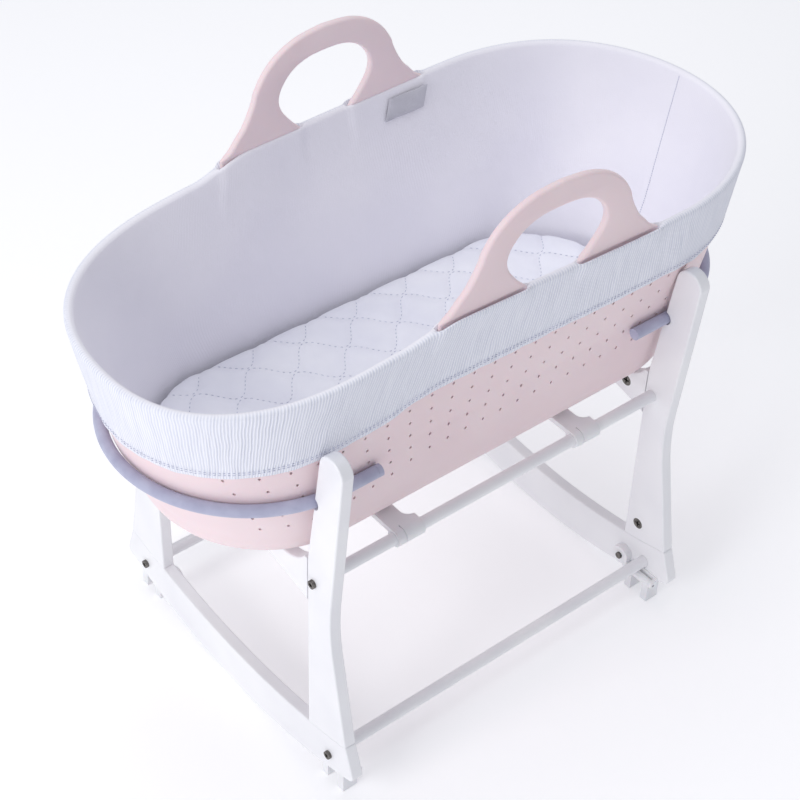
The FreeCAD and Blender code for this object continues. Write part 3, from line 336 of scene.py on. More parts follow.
def stitch_tree():
    """Stitches laid end to end along every edge path of the mesh they are put on."""
    tree, given, result = node_group("Stitches", {"Pitch": 4 * MM, "Length": 3 * MM, "Thickness": 1 * MM})
    path = add(tree, "GeometryNodeMeshToCurve", inputs={"Mesh": given.outputs["Geometry"]})
    spaced = add(tree, "GeometryNodeResampleCurve", {"mode": "LENGTH"},
                 {"Curve": path.outputs["Curve"], "Length": given.outputs["Pitch"]})
    tangent = add(tree, "GeometryNodeInputTangent")
    turned = turned_along(tree, tangent.outputs["Tangent"])
    bead = add(tree, "GeometryNodeMeshUVSphere", inputs={"Segments": 7, "Rings": 5, "Radius": 0.5})
    size = add(tree, "ShaderNodeCombineXYZ", inputs={
        "X": given.outputs["Thickness"], "Y": given.outputs["Thickness"], "Z": given.outputs["Length"]})
    shaped = add(tree, "GeometryNodeTransform", inputs={
        "Geometry": bead.outputs["Mesh"], "Scale": size.outputs["Vector"]})
    placed = add(tree, "GeometryNodeInstanceOnPoints", inputs={
        "Points": spaced.outputs["Curve"], "Instance": shaped.outputs["Geometry"], "Rotation": turned})
    real = add(tree, "GeometryNodeRealizeInstances", inputs={"Geometry": placed.outputs["Instances"]})
    painted = add(tree, "GeometryNodeSetMaterial", inputs={
        "Geometry": real.outputs["Geometry"], "Material": bpy.data.materials["Cotton thread, spun"]})
    tree.links.new(painted.outputs["Geometry"], result.inputs["Geometry"])
    return tree


def perforation_tree():
    """Punches on the points of a mesh, each turned along its point's outward direction."""
    sizes = {"Width": 3.6 * MM, "Length": 5 * MM, "Depth": 24 * MM}
    tree, given, result = node_group("Perforations", sizes)
    out = add(tree, "GeometryNodeInputNamedAttribute", {"data_type": "FLOAT_VECTOR"}, {"Name": "outward"})
    turned = turned_along(tree, out.outputs["Attribute"])
    pin = add(tree, "GeometryNodeMeshCylinder", {"fill_type": "NGON"},
              {"Vertices": 12, "Radius": 0.5, "Depth": 1.0})
    size = add(tree, "ShaderNodeCombineXYZ", inputs={
        "X": given.outputs["Width"], "Y": given.outputs["Length"], "Z": given.outputs["Depth"]})
    shaped = add(tree, "GeometryNodeTransform", inputs={
        "Geometry": pin.outputs["Mesh"], "Scale": size.outputs["Vector"]})
    placed = add(tree, "GeometryNodeInstanceOnPoints", inputs={
        "Points": given.outputs["Geometry"], "Instance": shaped.outputs["Geometry"], "Rotation": turned})
    real = add(tree, "GeometryNodeRealizeInstances", inputs={"Geometry": placed.outputs["Instances"]})
    painted = add(tree, "GeometryNodeSetMaterial", inputs={
        "Geometry": real.outputs["Geometry"], "Material": bpy.data.materials["EVA foam, moulded"]})
    tree.links.new(painted.outputs["Geometry"], result.inputs["Geometry"])
    return tree


def grow(piece, tree, **sizes):
    """Puts a geometry tree on a piece with the sizes given, and keeps its result as a plain mesh."""
    made = piece.modifiers.new(tree.name, "NODES")
    made.node_group = tree
    for socket in tree.interface.items_tree:
        if socket.in_out == "INPUT" and socket.name in sizes:
            made[socket.identifier] = sizes[socket.name]
    return settle(piece)


def path_mesh(name, paths):
    """A mesh of open edge paths, in millimetres."""
    points, edges = [], []
    for path in paths:
        edges += [(len(points) + i, len(points) + i + 1) for i in range(len(path) - 1)]
        points += [Vector(point) * MM for point in path]
    mesh = bpy.data.meshes.new(name)
    mesh.from_pydata(points, edges, [])
    return mesh


# ---------------------------------------------------------------- materials

def linear(colour):
    """An sRGB hex colour as linear RGBA."""
    values = []
    for place in (1, 3, 5):
        value = int(colour[place:place + 2], 16) / 255
        values.append(value / 12.92 if value <= 0.04045 else ((value + 0.055) / 1.055) ** 2.4)
    return (*values, 1.0)


def start_material(name):
    """A fresh material with only its surface and output, and those nodes."""
    made = bpy.data.materials.new(name)
    made.use_nodes = True
    made.node_tree.nodes.clear()
    tree = made.node_tree
    surface = add(tree, "ShaderNodeBsdfPrincipled")
    add(tree, "ShaderNodeOutputMaterial", inputs={"Surface": surface.outputs["BSDF"]})
    return made, tree, surface


def set_inputs(tree, target, **inputs):
    for key, value in inputs.items():
        socket = target.inputs[key.replace("_", " ")]
        if isinstance(value, bpy.types.NodeSocket):
            tree.links.new(value, socket)
        else:
            socket.default_value = value


def two_tone(tree, factor, first, second, low=0.3, high=0.7):
    """A colour that runs from one hex to another as a factor goes from low to high."""
    ramp = add(tree, "ShaderNodeValToRGB", inputs={"Fac": factor})
    ramp.color_ramp.elements[0].position, ramp.color_ramp.elements[1].position = low, high
    ramp.color_ramp.elements[0].color, ramp.color_ramp.elements[1].color = linear(first), linear(second)
    return ramp.outputs["Color"]


def maths(tree, operation, *values):
    """The result of a maths node, its inputs given in order as numbers or links."""
    return add(tree, "ShaderNodeMath", {"operation": operation}, dict(enumerate(values))).outputs["Value"]


def mottle(tree, place, scale, detail, stretch=(1, 1, 1)):
    """Noise over a place, in cycles a metre, drawn out along an axis where stretch is under one."""
    drawn = add(tree, "ShaderNodeMapping", inputs={"Vector": place, "Scale": stretch})
    made = add(tree, "ShaderNodeTexNoise", inputs={
        "Vector": drawn.outputs["Vector"], "Scale": scale, "Detail": detail})
    return made.outputs["Fac"]


def speckle(tree, scale, detail=2.0, stretch=(1, 1, 1)):
    """Noise on the piece's own coordinates."""
    return mottle(tree, add(tree, "ShaderNodeTexCoord").outputs["Object"], scale, detail, stretch)


def rough_range(tree, factor, low, high):
    """A factor from 0 to 1, made to run from low to high."""
    made = add(tree, "ShaderNodeMapRange", inputs={"Value": factor, "To Min": low, "To Max": high})
    return made.outputs["Result"]


def relief(tree, height, distance, strength=1.0, normal=None):
    inputs = {"Height": height, "Distance": distance, "Strength": strength}
    if normal is not None:
        inputs["Normal"] = normal
    return add(tree, "ShaderNodeBump", inputs=inputs).outputs["Normal"]


def lacquered_beech(colours):
    """Sprayed satin lacquer on beech: white, with the pores just telling through."""
    made, tree, surface = start_material("Beech, satin lacquered")
    pores = speckle(tree, 260, 4, (1, 1, 0.06))
    cloud = speckle(tree, 9)
    colour = two_tone(tree, cloud, colours.wood_shade, colours.wood)
    set_inputs(tree, surface, Base_Color=colour, Roughness=rough_range(tree, pores, 0.34, 0.46), IOR=1.5,
               Normal=relief(tree, pores, 0.12 * MM, 0.5), Coat_Weight=0.25, Coat_Roughness=0.25)
    return made


def powder_coat(colours):
    """Powder coat on steel tube: a white film with a fine orange-peel skin."""
    made, tree, surface = start_material("Steel tube, powder coated")
    peel = speckle(tree, 700, 1)
    colour = two_tone(tree, speckle(tree, 14), colours.wood_shade, colours.wood)
    set_inputs(tree, surface, Base_Color=colour, Roughness=rough_range(tree, peel, 0.3, 0.42), IOR=1.5,
               Normal=relief(tree, peel, 0.08 * MM, 0.6))
    return made


def zinc(name, dark, light, roughness):
    """Zinc plate: a dull grey metal, mottled where the bath took unevenly."""
    made, tree, surface = start_material(name)
    patches = speckle(tree, 320, 3)
    set_inputs(tree, surface, Base_Color=two_tone(tree, patches, dark, light), Metallic=1.0,
               Roughness=rough_range(tree, patches, roughness, roughness + 0.18),
               Normal=relief(tree, speckle(tree, 1500, 1), 0.03 * MM, 0.5))
    return made


def moulded_nylon(colours):
    """Injection-moulded nylon: off-white, lightly spark-eroded, faintly translucent."""
    made, tree, surface = start_material("Nylon, injection moulded")
    grit = speckle(tree, 1100, 2)
    colour = two_tone(tree, speckle(tree, 20), colours.nylon_shade, colours.nylon)
    set_inputs(tree, surface, Base_Color=colour, Roughness=rough_range(tree, grit, 0.42, 0.55), IOR=1.53,
               Normal=relief(tree, grit, 0.05 * MM, 0.5), Subsurface_Weight=0.05, Subsurface_Scale=0.002)
    return made


def foam_sleeve(colours):
    """Skinned foam tube: matt and lilac grey, with soft creases across it where it bends, their hollows
    painted darker as painted shade.
    """
    made, tree, surface = start_material("Foam tube, skinned")
    cells = speckle(tree, 900, 3)
    creases = speckle(tree, 40, 3)
    normal = relief(tree, creases, 0.8 * MM, 0.4)
    # The colour runs darker in the hollows of the creases: painted shade.
    set_inputs(tree, surface, Base_Color=two_tone(tree, creases, colours.sleeve_painted_crease_shade, colours.sleeve),
               Roughness=rough_range(tree, cells, 0.6, 0.8), IOR=1.45,
               Normal=relief(tree, cells, 0.15 * MM, 0.6, normal), Sheen_Weight=0.2, Sheen_Roughness=0.5)
    return made


def moulded_eva(colours):
    """Closed-cell EVA foam from a mould: pale pink and matt, with a fine even skin."""
    made, tree, surface = start_material("EVA foam, moulded")
    skin_grit = speckle(tree, 800, 3)
    cloud = speckle(tree, 7, 3)
    swell = speckle(tree, 22, 2)
    normal = relief(tree, swell, 1.0 * MM, 0.35)
    set_inputs(tree, surface, Base_Color=two_tone(tree, cloud, colours.shell_shade, colours.shell),
               Roughness=rough_range(tree, skin_grit, 0.5, 0.66), IOR=1.49,
               Normal=relief(tree, skin_grit, 0.12 * MM, 0.5, normal),
               Subsurface_Weight=0.08, Subsurface_Scale=0.004, Sheen_Weight=0.08)
    return made


def ribbed_jersey(colours, pitch):
    """Rib-knit cotton jersey: upright cords on the skirt with painted shade in the valleys between them, and
    nearly plain inside the basket, where its tones carry a painted pink tint of light bounced off the shell.
    """
    made, tree, surface = start_material("Cotton jersey, rib knit")
    cloth = add(tree, "ShaderNodeUVMap", {"uv_map": "cloth"}).outputs["UV"]
    skirt = add(tree, "ShaderNodeAttribute", {"attribute_name": "skirt"}).outputs["Fac"]
    parts = add(tree, "ShaderNodeSeparateXYZ", inputs={"Vector": cloth})
    drift = maths(tree, "MULTIPLY", mottle(tree, cloth, 14.0, 3.0), RIB_DRIFT)
    turns = maths(tree, "MULTIPLY_ADD", parts.outputs["X"], 2 * math.pi / pitch, drift)
    cord = add(tree, "ShaderNodeMapRange", inputs={
        "Value": maths(tree, "SINE", turns), "From Min": -1.0, "From Max": 1.0})
    knit = maths(tree, "SINE", maths(tree, "MULTIPLY", parts.outputs["Y"], 2 * math.pi / LOOP_PITCH))
    patches = mottle(tree, cloth, 230.0, 3.0, (1, 0.07, 1))
    depth = maths(tree, "MULTIPLY", rough_range(tree, patches, 0.1, 1.6), rough_range(tree, skirt, 0.15, 1.0))
    valley = maths(tree, "SUBTRACT", 1.0, cord.outputs["Result"])
    uneven = maths(tree, "MULTIPLY", valley, depth)
    height = maths(tree, "MULTIPLY_ADD", knit, 0.05, uneven)
    # The valleys between the ribs are painted darker: painted shade.
    ribs = two_tone(tree, uneven, colours.jersey, colours.jersey_painted_valley_shade, 0.1, 0.95)
    # The lining's tones carry a pink tint that stands in for light bounced off the shell: painted reflected
    # light.
    plain = two_tone(tree, mottle(tree, cloth, 5.0, 3.0), colours.lining_shade, colours.lining)
    colour = add(tree, "ShaderNodeMixRGB", inputs={"Fac": skirt, "Color1": plain, "Color2": ribs})
    set_inputs(tree, surface, Base_Color=colour.outputs["Color"], Roughness=0.9, IOR=1.5,
               Normal=relief(tree, height, -0.55 * MM, 0.8), Sheen_Weight=0.25, Sheen_Roughness=0.4)
    return made


def woven_cloth(name, shade_hex, cloth_hex, pitch, sheen):
    """Plain-woven cloth, its threads drawn as a fine basket of over and under."""
    made, tree, surface = start_material(name)
    place = add(tree, "ShaderNodeTexCoord")
    parts = add(tree, "ShaderNodeSeparateXYZ", inputs={"Vector": place.outputs["Object"]})
    waves = []
    for axis in ("X", "Y"):
        turns = maths(tree, "MULTIPLY", parts.outputs[axis], 2 * math.pi / pitch)
        waves.append(maths(tree, "SINE", turns))
    weave = maths(tree, "MULTIPLY_ADD", waves[0], waves[1], 0.5)
    fuzz = speckle(tree, 400, 3)
    height = maths(tree, "MULTIPLY_ADD", weave, 0.4, fuzz)
    set_inputs(tree, surface, Base_Color=two_tone(tree, speckle(tree, 16, 3), shade_hex, cloth_hex),
               Roughness=rough_range(tree, fuzz, 0.78, 0.92), IOR=1.5,
               Normal=relief(tree, height, 0.25 * MM, 0.5), Sheen_Weight=sheen)
    return made


def thread(colours):
    """Spun sewing thread: slightly glossy, its own colour made darker than the cloth it holds as painted
    shade for the pits the stitches sink into, and darker again in the grooves of its twist, also painted
    shade.
    """
    made, tree, surface = start_material("Cotton thread, spun")
    twist = speckle(tree, 1800, 1)
    # Both tones are darker than the cloth as painted shade for the stitch pits; the darker one follows the
    # twist's grooves, also painted shade.
    set_inputs(tree, surface, Base_Color=two_tone(tree, twist, colours.thread_painted_pit_shade, colours.thread),
               Roughness=0.7, IOR=1.5, Normal=relief(tree, twist, 0.1 * MM, 0.6), Sheen_Weight=0.2)
    return made


def plain_wood(name, dark, light):
    """Unfinished wood or hardboard, with its grain along the piece."""
    made, tree, surface = start_material(name)
    grain = speckle(tree, 120, 5, (0.08, 1, 1))
    set_inputs(tree, surface, Base_Color=two_tone(tree, grain, dark, light), Roughness=0.7, IOR=1.5,
               Normal=relief(tree, grain, 0.2 * MM, 0.5))
    return made


def open_foam():
    """Open-cell polyurethane foam: cream, matt and pitted, its colour painted darker in the pits as painted
    shade.
    """
    made, tree, surface = start_material("Polyurethane foam, cut")
    cells = speckle(tree, 500, 3)
    # The darker cream follows the pits of the cells: painted shade.
    set_inputs(tree, surface, Base_Color=two_tone(tree, cells, "#D8CFA8", "#EFE8CC"),
               Roughness=0.95, IOR=1.4, Normal=relief(tree, cells, 0.5 * MM, 0.8))
    return made


def make_materials(colours, cloth):
    columns = spots(LINER_END, LINER_FLANK)
    ring = wall_ring(columns, [0.0] * len(columns), rim_heights(columns))
    around = lengths_round(ring)[-1]
    pitch = around / round(around / cloth.rib_pitch)
    lacquered_beech(colours)
    powder_coat(colours)
    zinc("Zinc plate, dark", "#5A5856", "#85817C", 0.38)
    zinc("Steel, bright", "#8E8E90", "#B9B9BB", 0.28)
    moulded_nylon(colours)
    foam_sleeve(colours)
    moulded_eva(colours)
    ribbed_jersey(colours, pitch)
    woven_cloth("Microfibre, brushed", colours.quilt_shade, colours.quilt, 1.4 * MM, 0.3)
    woven_cloth("Polyester tape, woven", "#B6B5BE", "#CBCAD3", 1.6 * MM, 0.2)
    thread(colours)
    plain_wood("Beech, turned", "#B58E5E", "#D9B98C")
    plain_wood("Hardboard, pressed", "#8A6B48", "#A98861")
    open_foam()


def finish_nodes(finish, *nodes):
    """Gives CAD nodes a finish in place of their own."""
    for name in nodes:
        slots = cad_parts[name].material_slots
        for place in slots:
            place.link = "OBJECT"
            place.material = bpy.data.materials[finish]


# ---------------------------------------------------------------- basket

LINER_END, LINER_FLANK = 116, 84        # steps round each end and along each flank
SHELL_END, SHELL_FLANK = 96, 72


def hem_at(x, drop):
    return rim_at(x) - drop


def shell_body(sizes):
    """The oval tub: rounded floor, flaring wall and a rolled upper edge."""
    columns = spots(SHELL_END, SHELL_FLANK)
    rims = [height - sizes.rim_roll for height in rim_heights(columns)]
    base = [FLOOR + ROUND] * len(columns)
    rings = bottom_rings(columns, 0.0, 9)
    steps = 34
    for step in range(1, steps + 1):
        heights = between(base, [rim - 2 for rim in rims], step / steps)
        offsets = [-moulded_line(height) for height in heights]
        rings.append(wall_ring(columns, offsets, heights))
    for angle in (45, 90, 135):
        turn = math.radians(angle)
        out = WALL / 2 * (math.cos(turn) - 1)
        heights = [rim - 2 + 2 * math.sin(turn) for rim in rims]
        rings.append(wall_ring(columns, [out] * len(columns), heights))
    for step in range(16):
        heights = between(base, [rim - 2 for rim in rims], 1 - step / 16)
        rings.append(wall_ring(columns, [-WALL] * len(columns), heights))
    rings += bottom_rings(columns, -WALL, 6)[::-1]
    return weld(skin("basket_shell_foam", rings))


def moulded_line(height):
    """A shallow moulded step round the shell, just over the hoops."""
    return 0.9 * math.exp(-((height - HOOP - 10) / 3.0) ** 2)


HOLE_ROWS = 5
HOLE_START = 9.5                # from the hem to the first row of air holes
HOLE_FAN = 0.028                # how much closer to the middle each row is than the one above


def hole_points(sizes):
    """A mesh of points in rows on both flanks of the shell, with the way out of each."""
    points, ways = [], []
    reach = sizes.hole_reach / MM
    pitch, step = sizes.hole_pitch / MM, sizes.hole_row / MM
    count = int(2 * reach / pitch)
    for side in SIDES.values():
        for index in range(count + 1):
            for row in range(HOLE_ROWS):
                x_rim = (index * pitch - reach) * (1 - HOLE_FAN * row)
                height = hem_at(x_rim, sizes.hem_drop / MM) - HOLE_START - row * step
                half_long, half_wide, end_long = wall_at(height - FLOOR)
                flank = half_long - end_long
                beyond = max(0.0, abs(x_rim) - flank) / end_long
                y = side * half_wide * math.sqrt(max(0.0, 1 - beyond ** 2))
                slope = Vector((math.copysign(beyond * half_wide / end_long, x_rim), side, -0.18))
                x, y = plan_at(x_rim, y, (half_long, half_wide, end_long), height)
                points.append(Vector((x, y, height)) * MM - slope.normalized() * WALL / 2 * MM)
                ways.append(slope.normalized())
    mesh = bpy.data.meshes.new("hole_points")
    mesh.from_pydata(points, [], [])
    outward = mesh.attributes.new("outward", "FLOAT_VECTOR", "POINT")
    for index, way in enumerate(ways):
        outward.data[index].vector = way
    return mesh


HANDLE_ROOT = 17.0              # how deep a loop's foot stands in the cloth's slit
ROOT_THICK = 0.5                # a loop's thickness there, against its own
SLIT_FROM, SLIT_TO = 31.0, 150.0        # slits in the rim, off the loop's middle
HANDLE_OUTER = ((148, 0), (136, 8), (126, 19), (116, 30), (107, 45), (101, 58), (97, 69), (84, 88),
                (64, 104), (36, 115), (0, 119))
GRIP = ((0, 88), (26, 86), (46, 78), (60, 64), (66, 49), (63, 34), (52, 18), (40, 5), (26, -6), (0, -11))


def rounded(points, closed, steps=8):
    """A smooth line through points, by Catmull and Rom's rule."""
    count = len(points)
    line = []
    spans = count if closed else count - 1
    for index in range(spans):
        near = [points[(index + k) % count] if closed else points[min(max(index + k, 0), count - 1)]
                for k in (-1, 0, 1, 2)]
        for step in range(steps):
            share = step / steps
            line.append(tuple(hermite(near[1][i], near[2][i], (near[2][i] - near[0][i]) / 2,
                                      (near[3][i] - near[1][i]) / 2, 1.0, share) for i in range(2)))
    return line if closed else line + [points[-1]]


def both_ways(half):
    """Mirrors a half outline that runs from the middle out, or from the foot up."""
    return list(half) + [(-x, z) for x, z in reversed(half) if x > 0]


def handle_mesh(side, sizes):
    """A flat carrying loop with rounded edges and a finger opening, leaning inwards."""
    thick, soft = sizes.handle_thick / MM, sizes.handle_soft / MM
    root = RIM - 1.5
    rise = TOP - root
    scale = rise / HANDLE_OUTER[-1][1]
    outer = [(HANDLE_OUTER[0][0], -HANDLE_ROOT)] + [(x, z * scale) for x, z in rounded(HANDLE_OUTER, False)]
    outer = both_ways(outer)
    grip = rounded(both_ways([(x, z * scale) for x, z in GRIP]), True)
    curve = bpy.data.curves.new("handle_outline", "CURVE")
    curve.dimensions = "2D"
    curve.fill_mode = "BOTH"
    curve.extrude = (thick / 2 - soft) * MM
    curve.bevel_depth = soft * MM
    curve.bevel_resolution = 3
    curve.offset = -soft * MM
    for line in (outer, grip):
        spline = curve.splines.new("POLY")
        spline.points.add(len(line) - 1)
        for point, (x, z) in zip(spline.points, line):
            point.co = (x * MM, z * MM, 0, 1)
        spline.use_cyclic_u = True
    holder = new_piece("handle_outline", curve)
    bpy.context.view_layer.update()
    mesh = bpy.data.meshes.new_from_object(holder.evaluated_get(bpy.context.evaluated_depsgraph_get()))
    bpy.data.objects.remove(holder)
    thin_root(mesh)
    middle = LEVELS[3][2] - WALL / 2
    turn = (Matrix.Translation(Vector((HANDLE_MID[side], side * middle, root)) * MM)
            @ Matrix.Rotation(side * HANDLE_TURN, 4, "Z") @ Matrix.Rotation(side * HANDLE_LEAN, 4, "X")
            @ Matrix.Rotation(math.pi / 2, 4, "X"))
    mesh.transform(turn)
    return weld(mesh, 0.02)


def thin_root(mesh):
    """Thins a loop below the rim, where it stands between the two layers of cloth."""
    work = bmesh.new()
    work.from_mesh(mesh)
    for height in (5.0, 3.0, 1.0, -1.0, -3.0):
        bmesh.ops.bisect_plane(work, geom=work.verts[:] + work.edges[:] + work.faces[:],
                               plane_co=(0, height * MM, 0), plane_no=(0, 1, 0))
    for point in work.verts:
        point.co.z *= mix(1.0, ROOT_THICK, smooth_step((5 - point.co.y / MM) / 8))
    work.to_mesh(mesh)
    work.free()


def ruffle(x, y, height, depth):
    """How far the cloth's skirt stands off at a place: puckered most at its stitched hem."""
    place = Vector((x, y, height * 0.35))
    broad = noise.noise(place / 60.0)
    fine = noise.noise(place / 17.0 + Vector((7, 3, 1)))
    return depth * (1.1 * broad + 0.9 * fine)


SLIT_SPREAD = 0.6              # how much wider the roll is where a loop stands in it
CLOTH_OFF = 1.6                 # from a wall to the middle of the cloth on it
RIB_DRIFT = 16.0                # how far the ribs wander, in turns of their wave
LOOP_PITCH = 2.4 * MM           # one knitted loop up a rib
LIP_LIFT = 4.0                  # how much higher its two lips stand there


def slit_at(x, y):
    """One where a loop's foot comes up through the rim, nothing elsewhere."""
    off = abs(x - HANDLE_MID[1 if y > 0 else -1])
    return smooth_step((off - SLIT_FROM) / 8) * (1 - smooth_step((off - SLIT_TO + 4) / 8))


def liner_mesh(sizes, cloth):
    """One sheet: floor and wall of the lining, rolled over the rim and down to the hem."""
    columns = spots(LINER_END, LINER_FLANK)
    rims = rim_heights(columns)
    count = len(columns)
    inner, outer = -WALL - CLOTH_OFF, cloth.skirt_gap / MM + CLOTH_OFF
    roll = (outer - inner) / 2
    middle = (outer + inner) / 2
    drop = sizes.hem_drop / MM
    pad_floor = PAD_LOW[2] - 1.4
    bottom = bottom_rings(columns, inner, 6)
    rings = [[(x, y, max(z, pad_floor)) for x, y, z in ring] for ring in bottom]
    base = [FLOOR + ROUND] * count
    lips = [rim - roll for rim in rims]
    slits = [slit_at(*point[:2]) for point in wall_ring(columns, [0.0] * count, rims)]
    inside_steps, outside_steps = 18, 16
    for step in range(1, inside_steps + 1):
        share = step / inside_steps
        heights = between(base, lips, share)
        slack = math.sin(math.pi * share) * cloth.slack / MM
        flat = wall_ring(columns, [inner] * count, heights)
        wide = SLIT_SPREAD * roll * max(0.0, 4 * share - 3)
        offsets = [inner - slack * (0.5 + 0.5 * noise.noise(Vector(point) / 90.0)) - wide * slit
                   for point, slit in zip(flat, slits)]
        rings.append(wall_ring(columns, offsets, heights))
    for angle in range(15, 180, 15):
        turn = math.radians(angle)
        sink = cloth.slit_depth / MM * math.sin(turn) ** 6
        lift = LIP_LIFT * math.sin(turn)
        heights = [lip + roll * math.sin(turn) + (lift - sink) * slit for lip, slit in zip(lips, slits)]
        spread = [middle - roll * math.cos(turn) * (1 + SLIT_SPREAD * slit) for slit in slits]
        rings.append(wall_ring(columns, spread, heights))
    hems = [rim - drop for rim in rims]
    for step in range(outside_steps + 1):
        share = step / outside_steps
        heights = between(lips, hems, share)
        flat = wall_ring(columns, [outer] * count, heights)
        depth = (cloth.pucker / MM) * smooth_step(share) ** 1.5
        wide = SLIT_SPREAD * roll * max(0.0, 1 - share * 3)
        offsets = [outer + 0.5 * share + wide * slit + max(-1.4, ruffle(*point, depth))
                   for point, slit in zip(flat, slits)]
        wave = [height + 1.2 * share * noise.noise(Vector((x, y, 0)) / 35.0)
                for height, (x, y, _) in zip(heights, flat)]
        rings.append(wall_ring(columns, offsets, wave))
    last = rings[-1]
    rings.append([(x * 0.9955, y * 0.9905, z + 1.5) for x, y, z in last])
    rings.append([(x * 0.9945, y * 0.9885, z + 8.0) for x, y, z in last])
    around = lengths_round(wall_ring(columns, [0.0] * count, rims))
    mesh = skin("liner_jersey", rings, around)
    skirt = mesh.attributes.new("skirt", "FLOAT", "POINT")
    rim_row = len(bottom) + inside_steps + 5
    for index in range(len(mesh.vertices)):
        skirt.data[index].value = smooth_step((index // count - rim_row + 3) / 6)
    return mesh


def stitch_line(columns, offset, drop):
    """A closed path round the basket at an offset off its wall and a drop below its rim."""
    heights = [rim - drop for rim in rim_heights(columns)]
    ring = wall_ring(columns, [offset] * len(columns), heights)
    return ring + ring[:1]


# ---------------------------------------------------------------- mattress

PAD_END = 130.0                 # length of the oval's end
PAD_INSETS = (60.0, 100.0, 137.0)       # rings across the top and the bottom


def pad_oval(shrink):
    """The mattress's outline, drawn in by a length."""
    half_long = (PAD_HIGH[0] - PAD_LOW[0]) / 2 - shrink
    half_wide = (PAD_HIGH[1] - PAD_LOW[1]) / 2 - shrink
    middle = (PAD_HIGH[0] + PAD_LOW[0]) / 2
    points = [on_oval(column, half_long, half_wide, PAD_END - shrink) for column in spots(48, 40)]
    return [(x + middle, y) for x, y in points]


def pad_block():
    """A closed block with rounded edges, a little smaller than the finished mattress."""
    low, high = PAD_LOW[2] + 1.0, PAD_HIGH[2] + 1.5
    edge_low, edge_high = 24.0, 12.0
    swell = 2.0
    rings = [[(x, y, low) for x, y in pad_oval(shrink)] for shrink in PAD_INSETS[::-1]]
    for angle in range(0, 91, 15):
        turn = math.radians(angle)
        rings.append([(x, y, low + edge_low * (1 - math.cos(turn)))
                      for x, y in pad_oval(swell + edge_low * (1 - math.sin(turn)))])
    for angle in range(0, 91, 15):
        turn = math.radians(angle)
        rings.append([(x, y, high - edge_high * (1 - math.sin(turn)))
                      for x, y in pad_oval(swell + edge_high * (1 - math.cos(turn)))])
    rings += [[(x, y, high) for x, y in pad_oval(shrink)] for shrink in PAD_INSETS]
    mesh = skin("mattress_block", rings)
    work = bmesh.new()
    work.from_mesh(mesh)
    bmesh.ops.remove_doubles(work, verts=work.verts, dist=0.05 * MM)
    bmesh.ops.holes_fill(work, edges=[edge for edge in work.edges if edge.is_boundary], sides=0)
    bmesh.ops.recalc_face_normals(work, faces=work.faces)
    work.to_mesh(mesh)
    work.free()
    return mesh


def inflate(piece, voxel, pressure, cap):
    """Blows a closed piece up as cloth, and keeps each point within a cap of where it was."""
    modifier(piece, "REMESH", mode="VOXEL", voxel_size=voxel)
    settle(piece)
    start = [point.co.copy() for point in piece.data.vertices]
    cloth = piece.modifiers.new("Inflate", "CLOTH")
    cloth.settings.use_pressure = True
    cloth.settings.uniform_pressure_force = pressure
    cloth.settings.effector_weights.gravity = 0.0
    cloth.settings.quality = 5
    scene = bpy.context.scene
    for step in range(1, 21):
        scene.frame_set(step)
    settle(piece)
    scene.frame_set(1)
    for point, before in zip(piece.data.vertices, start):
        moved = point.co - before
        if moved.length > cap:
            point.co = before + moved.normalized() * cap


OGEE = 0.46                     # how far a quilted line sways, as a share of the row


def quilt_lines(sizes):
    """The stitched ogee lines across the mattress, each as a list of (x, y)."""
    row = sizes.quilt_cell / 2 / MM
    length = sizes.quilt_length / MM
    half = (PAD_HIGH[1] - PAD_LOW[1]) / 2
    count = int(half / row) + 1
    lines = []
    for index in range(-count, count + 1):
        points = []
        x = PAD_LOW[0]
        while x <= PAD_HIGH[0]:
            points.append((x, line_across(index, x, row, length)))
            x += 3.0
        lines.append(points)
    return lines


def line_across(index, x, row, length):
    sway = 1 if index % 2 else -1
    return row * index + sway * row * OGEE * math.sin(2 * math.pi * x / length)


def inside_pad(x, y, margin):
    half_long = (PAD_HIGH[0] - PAD_LOW[0]) / 2 - margin
    half_wide = (PAD_HIGH[1] - PAD_LOW[1]) / 2 - margin
    middle = (PAD_HIGH[0] + PAD_LOW[0]) / 2
    end_long = PAD_END - margin
    beyond = max(0.0, abs(x - middle) - (half_long - end_long)) / end_long
    return beyond < 1 and abs(y) < half_wide * math.sqrt(1 - beyond ** 2)


def quilt_depth(x, y, sizes):
    """How far the top sinks at a place, in millimetres: deepest on the stitched lines."""
    row, length = sizes.quilt_cell / 2 / MM, sizes.quilt_length / MM
    nearest = 1e9
    middle = round(y / row)
    for index in range(middle - 2, middle + 3):
        gap = abs(y - line_across(index, x, row, length))
        slope = 2 * math.pi / length * row * OGEE * math.cos(2 * math.pi * x / length)
        nearest = min(nearest, gap / math.sqrt(1 + slope ** 2))
    return sizes.quilt_depth / MM * math.exp(-(nearest / 5.5) ** 1.3)


# ---------------------------------------------------------------- property groups

def length_property(name, description, value):
    return bpy.props.FloatProperty(
        name=name, description=description, default=value * MM, unit="LENGTH", min=0.0)


def hex_property(name, description, value):
    return bpy.props.StringProperty(name=name, description=description, default=value, maxlen=7)


class BasketSizes(bpy.types.PropertyGroup):
    rim_roll: bpy.props.FloatProperty(
        name="Rim roll", description="Cloth over the shell's upper edge, in millimetres", default=6.0)
    hem_drop: length_property("Hem drop", "Depth of the liner's skirt below the rim", 97.0)
    hole_pitch: length_property("Hole pitch", "Distance from one air hole to the next", 28.5)
    hole_row: length_property("Row pitch", "Distance from one row of holes to the next", 23.5)
    hole_reach: length_property("Hole reach", "How far from the middle the rows run", 350.0)
    hole_wide: length_property("Hole width", "Width of an air hole", 3.4)
    hole_long: length_property("Hole length", "Length of an air hole", 4.6)
    handle_thick: length_property("Handle thickness", "Thickness of a carrying loop", 9.4)
    handle_soft: length_property("Handle rounding", "Rounding of a loop's edges", 3.6)


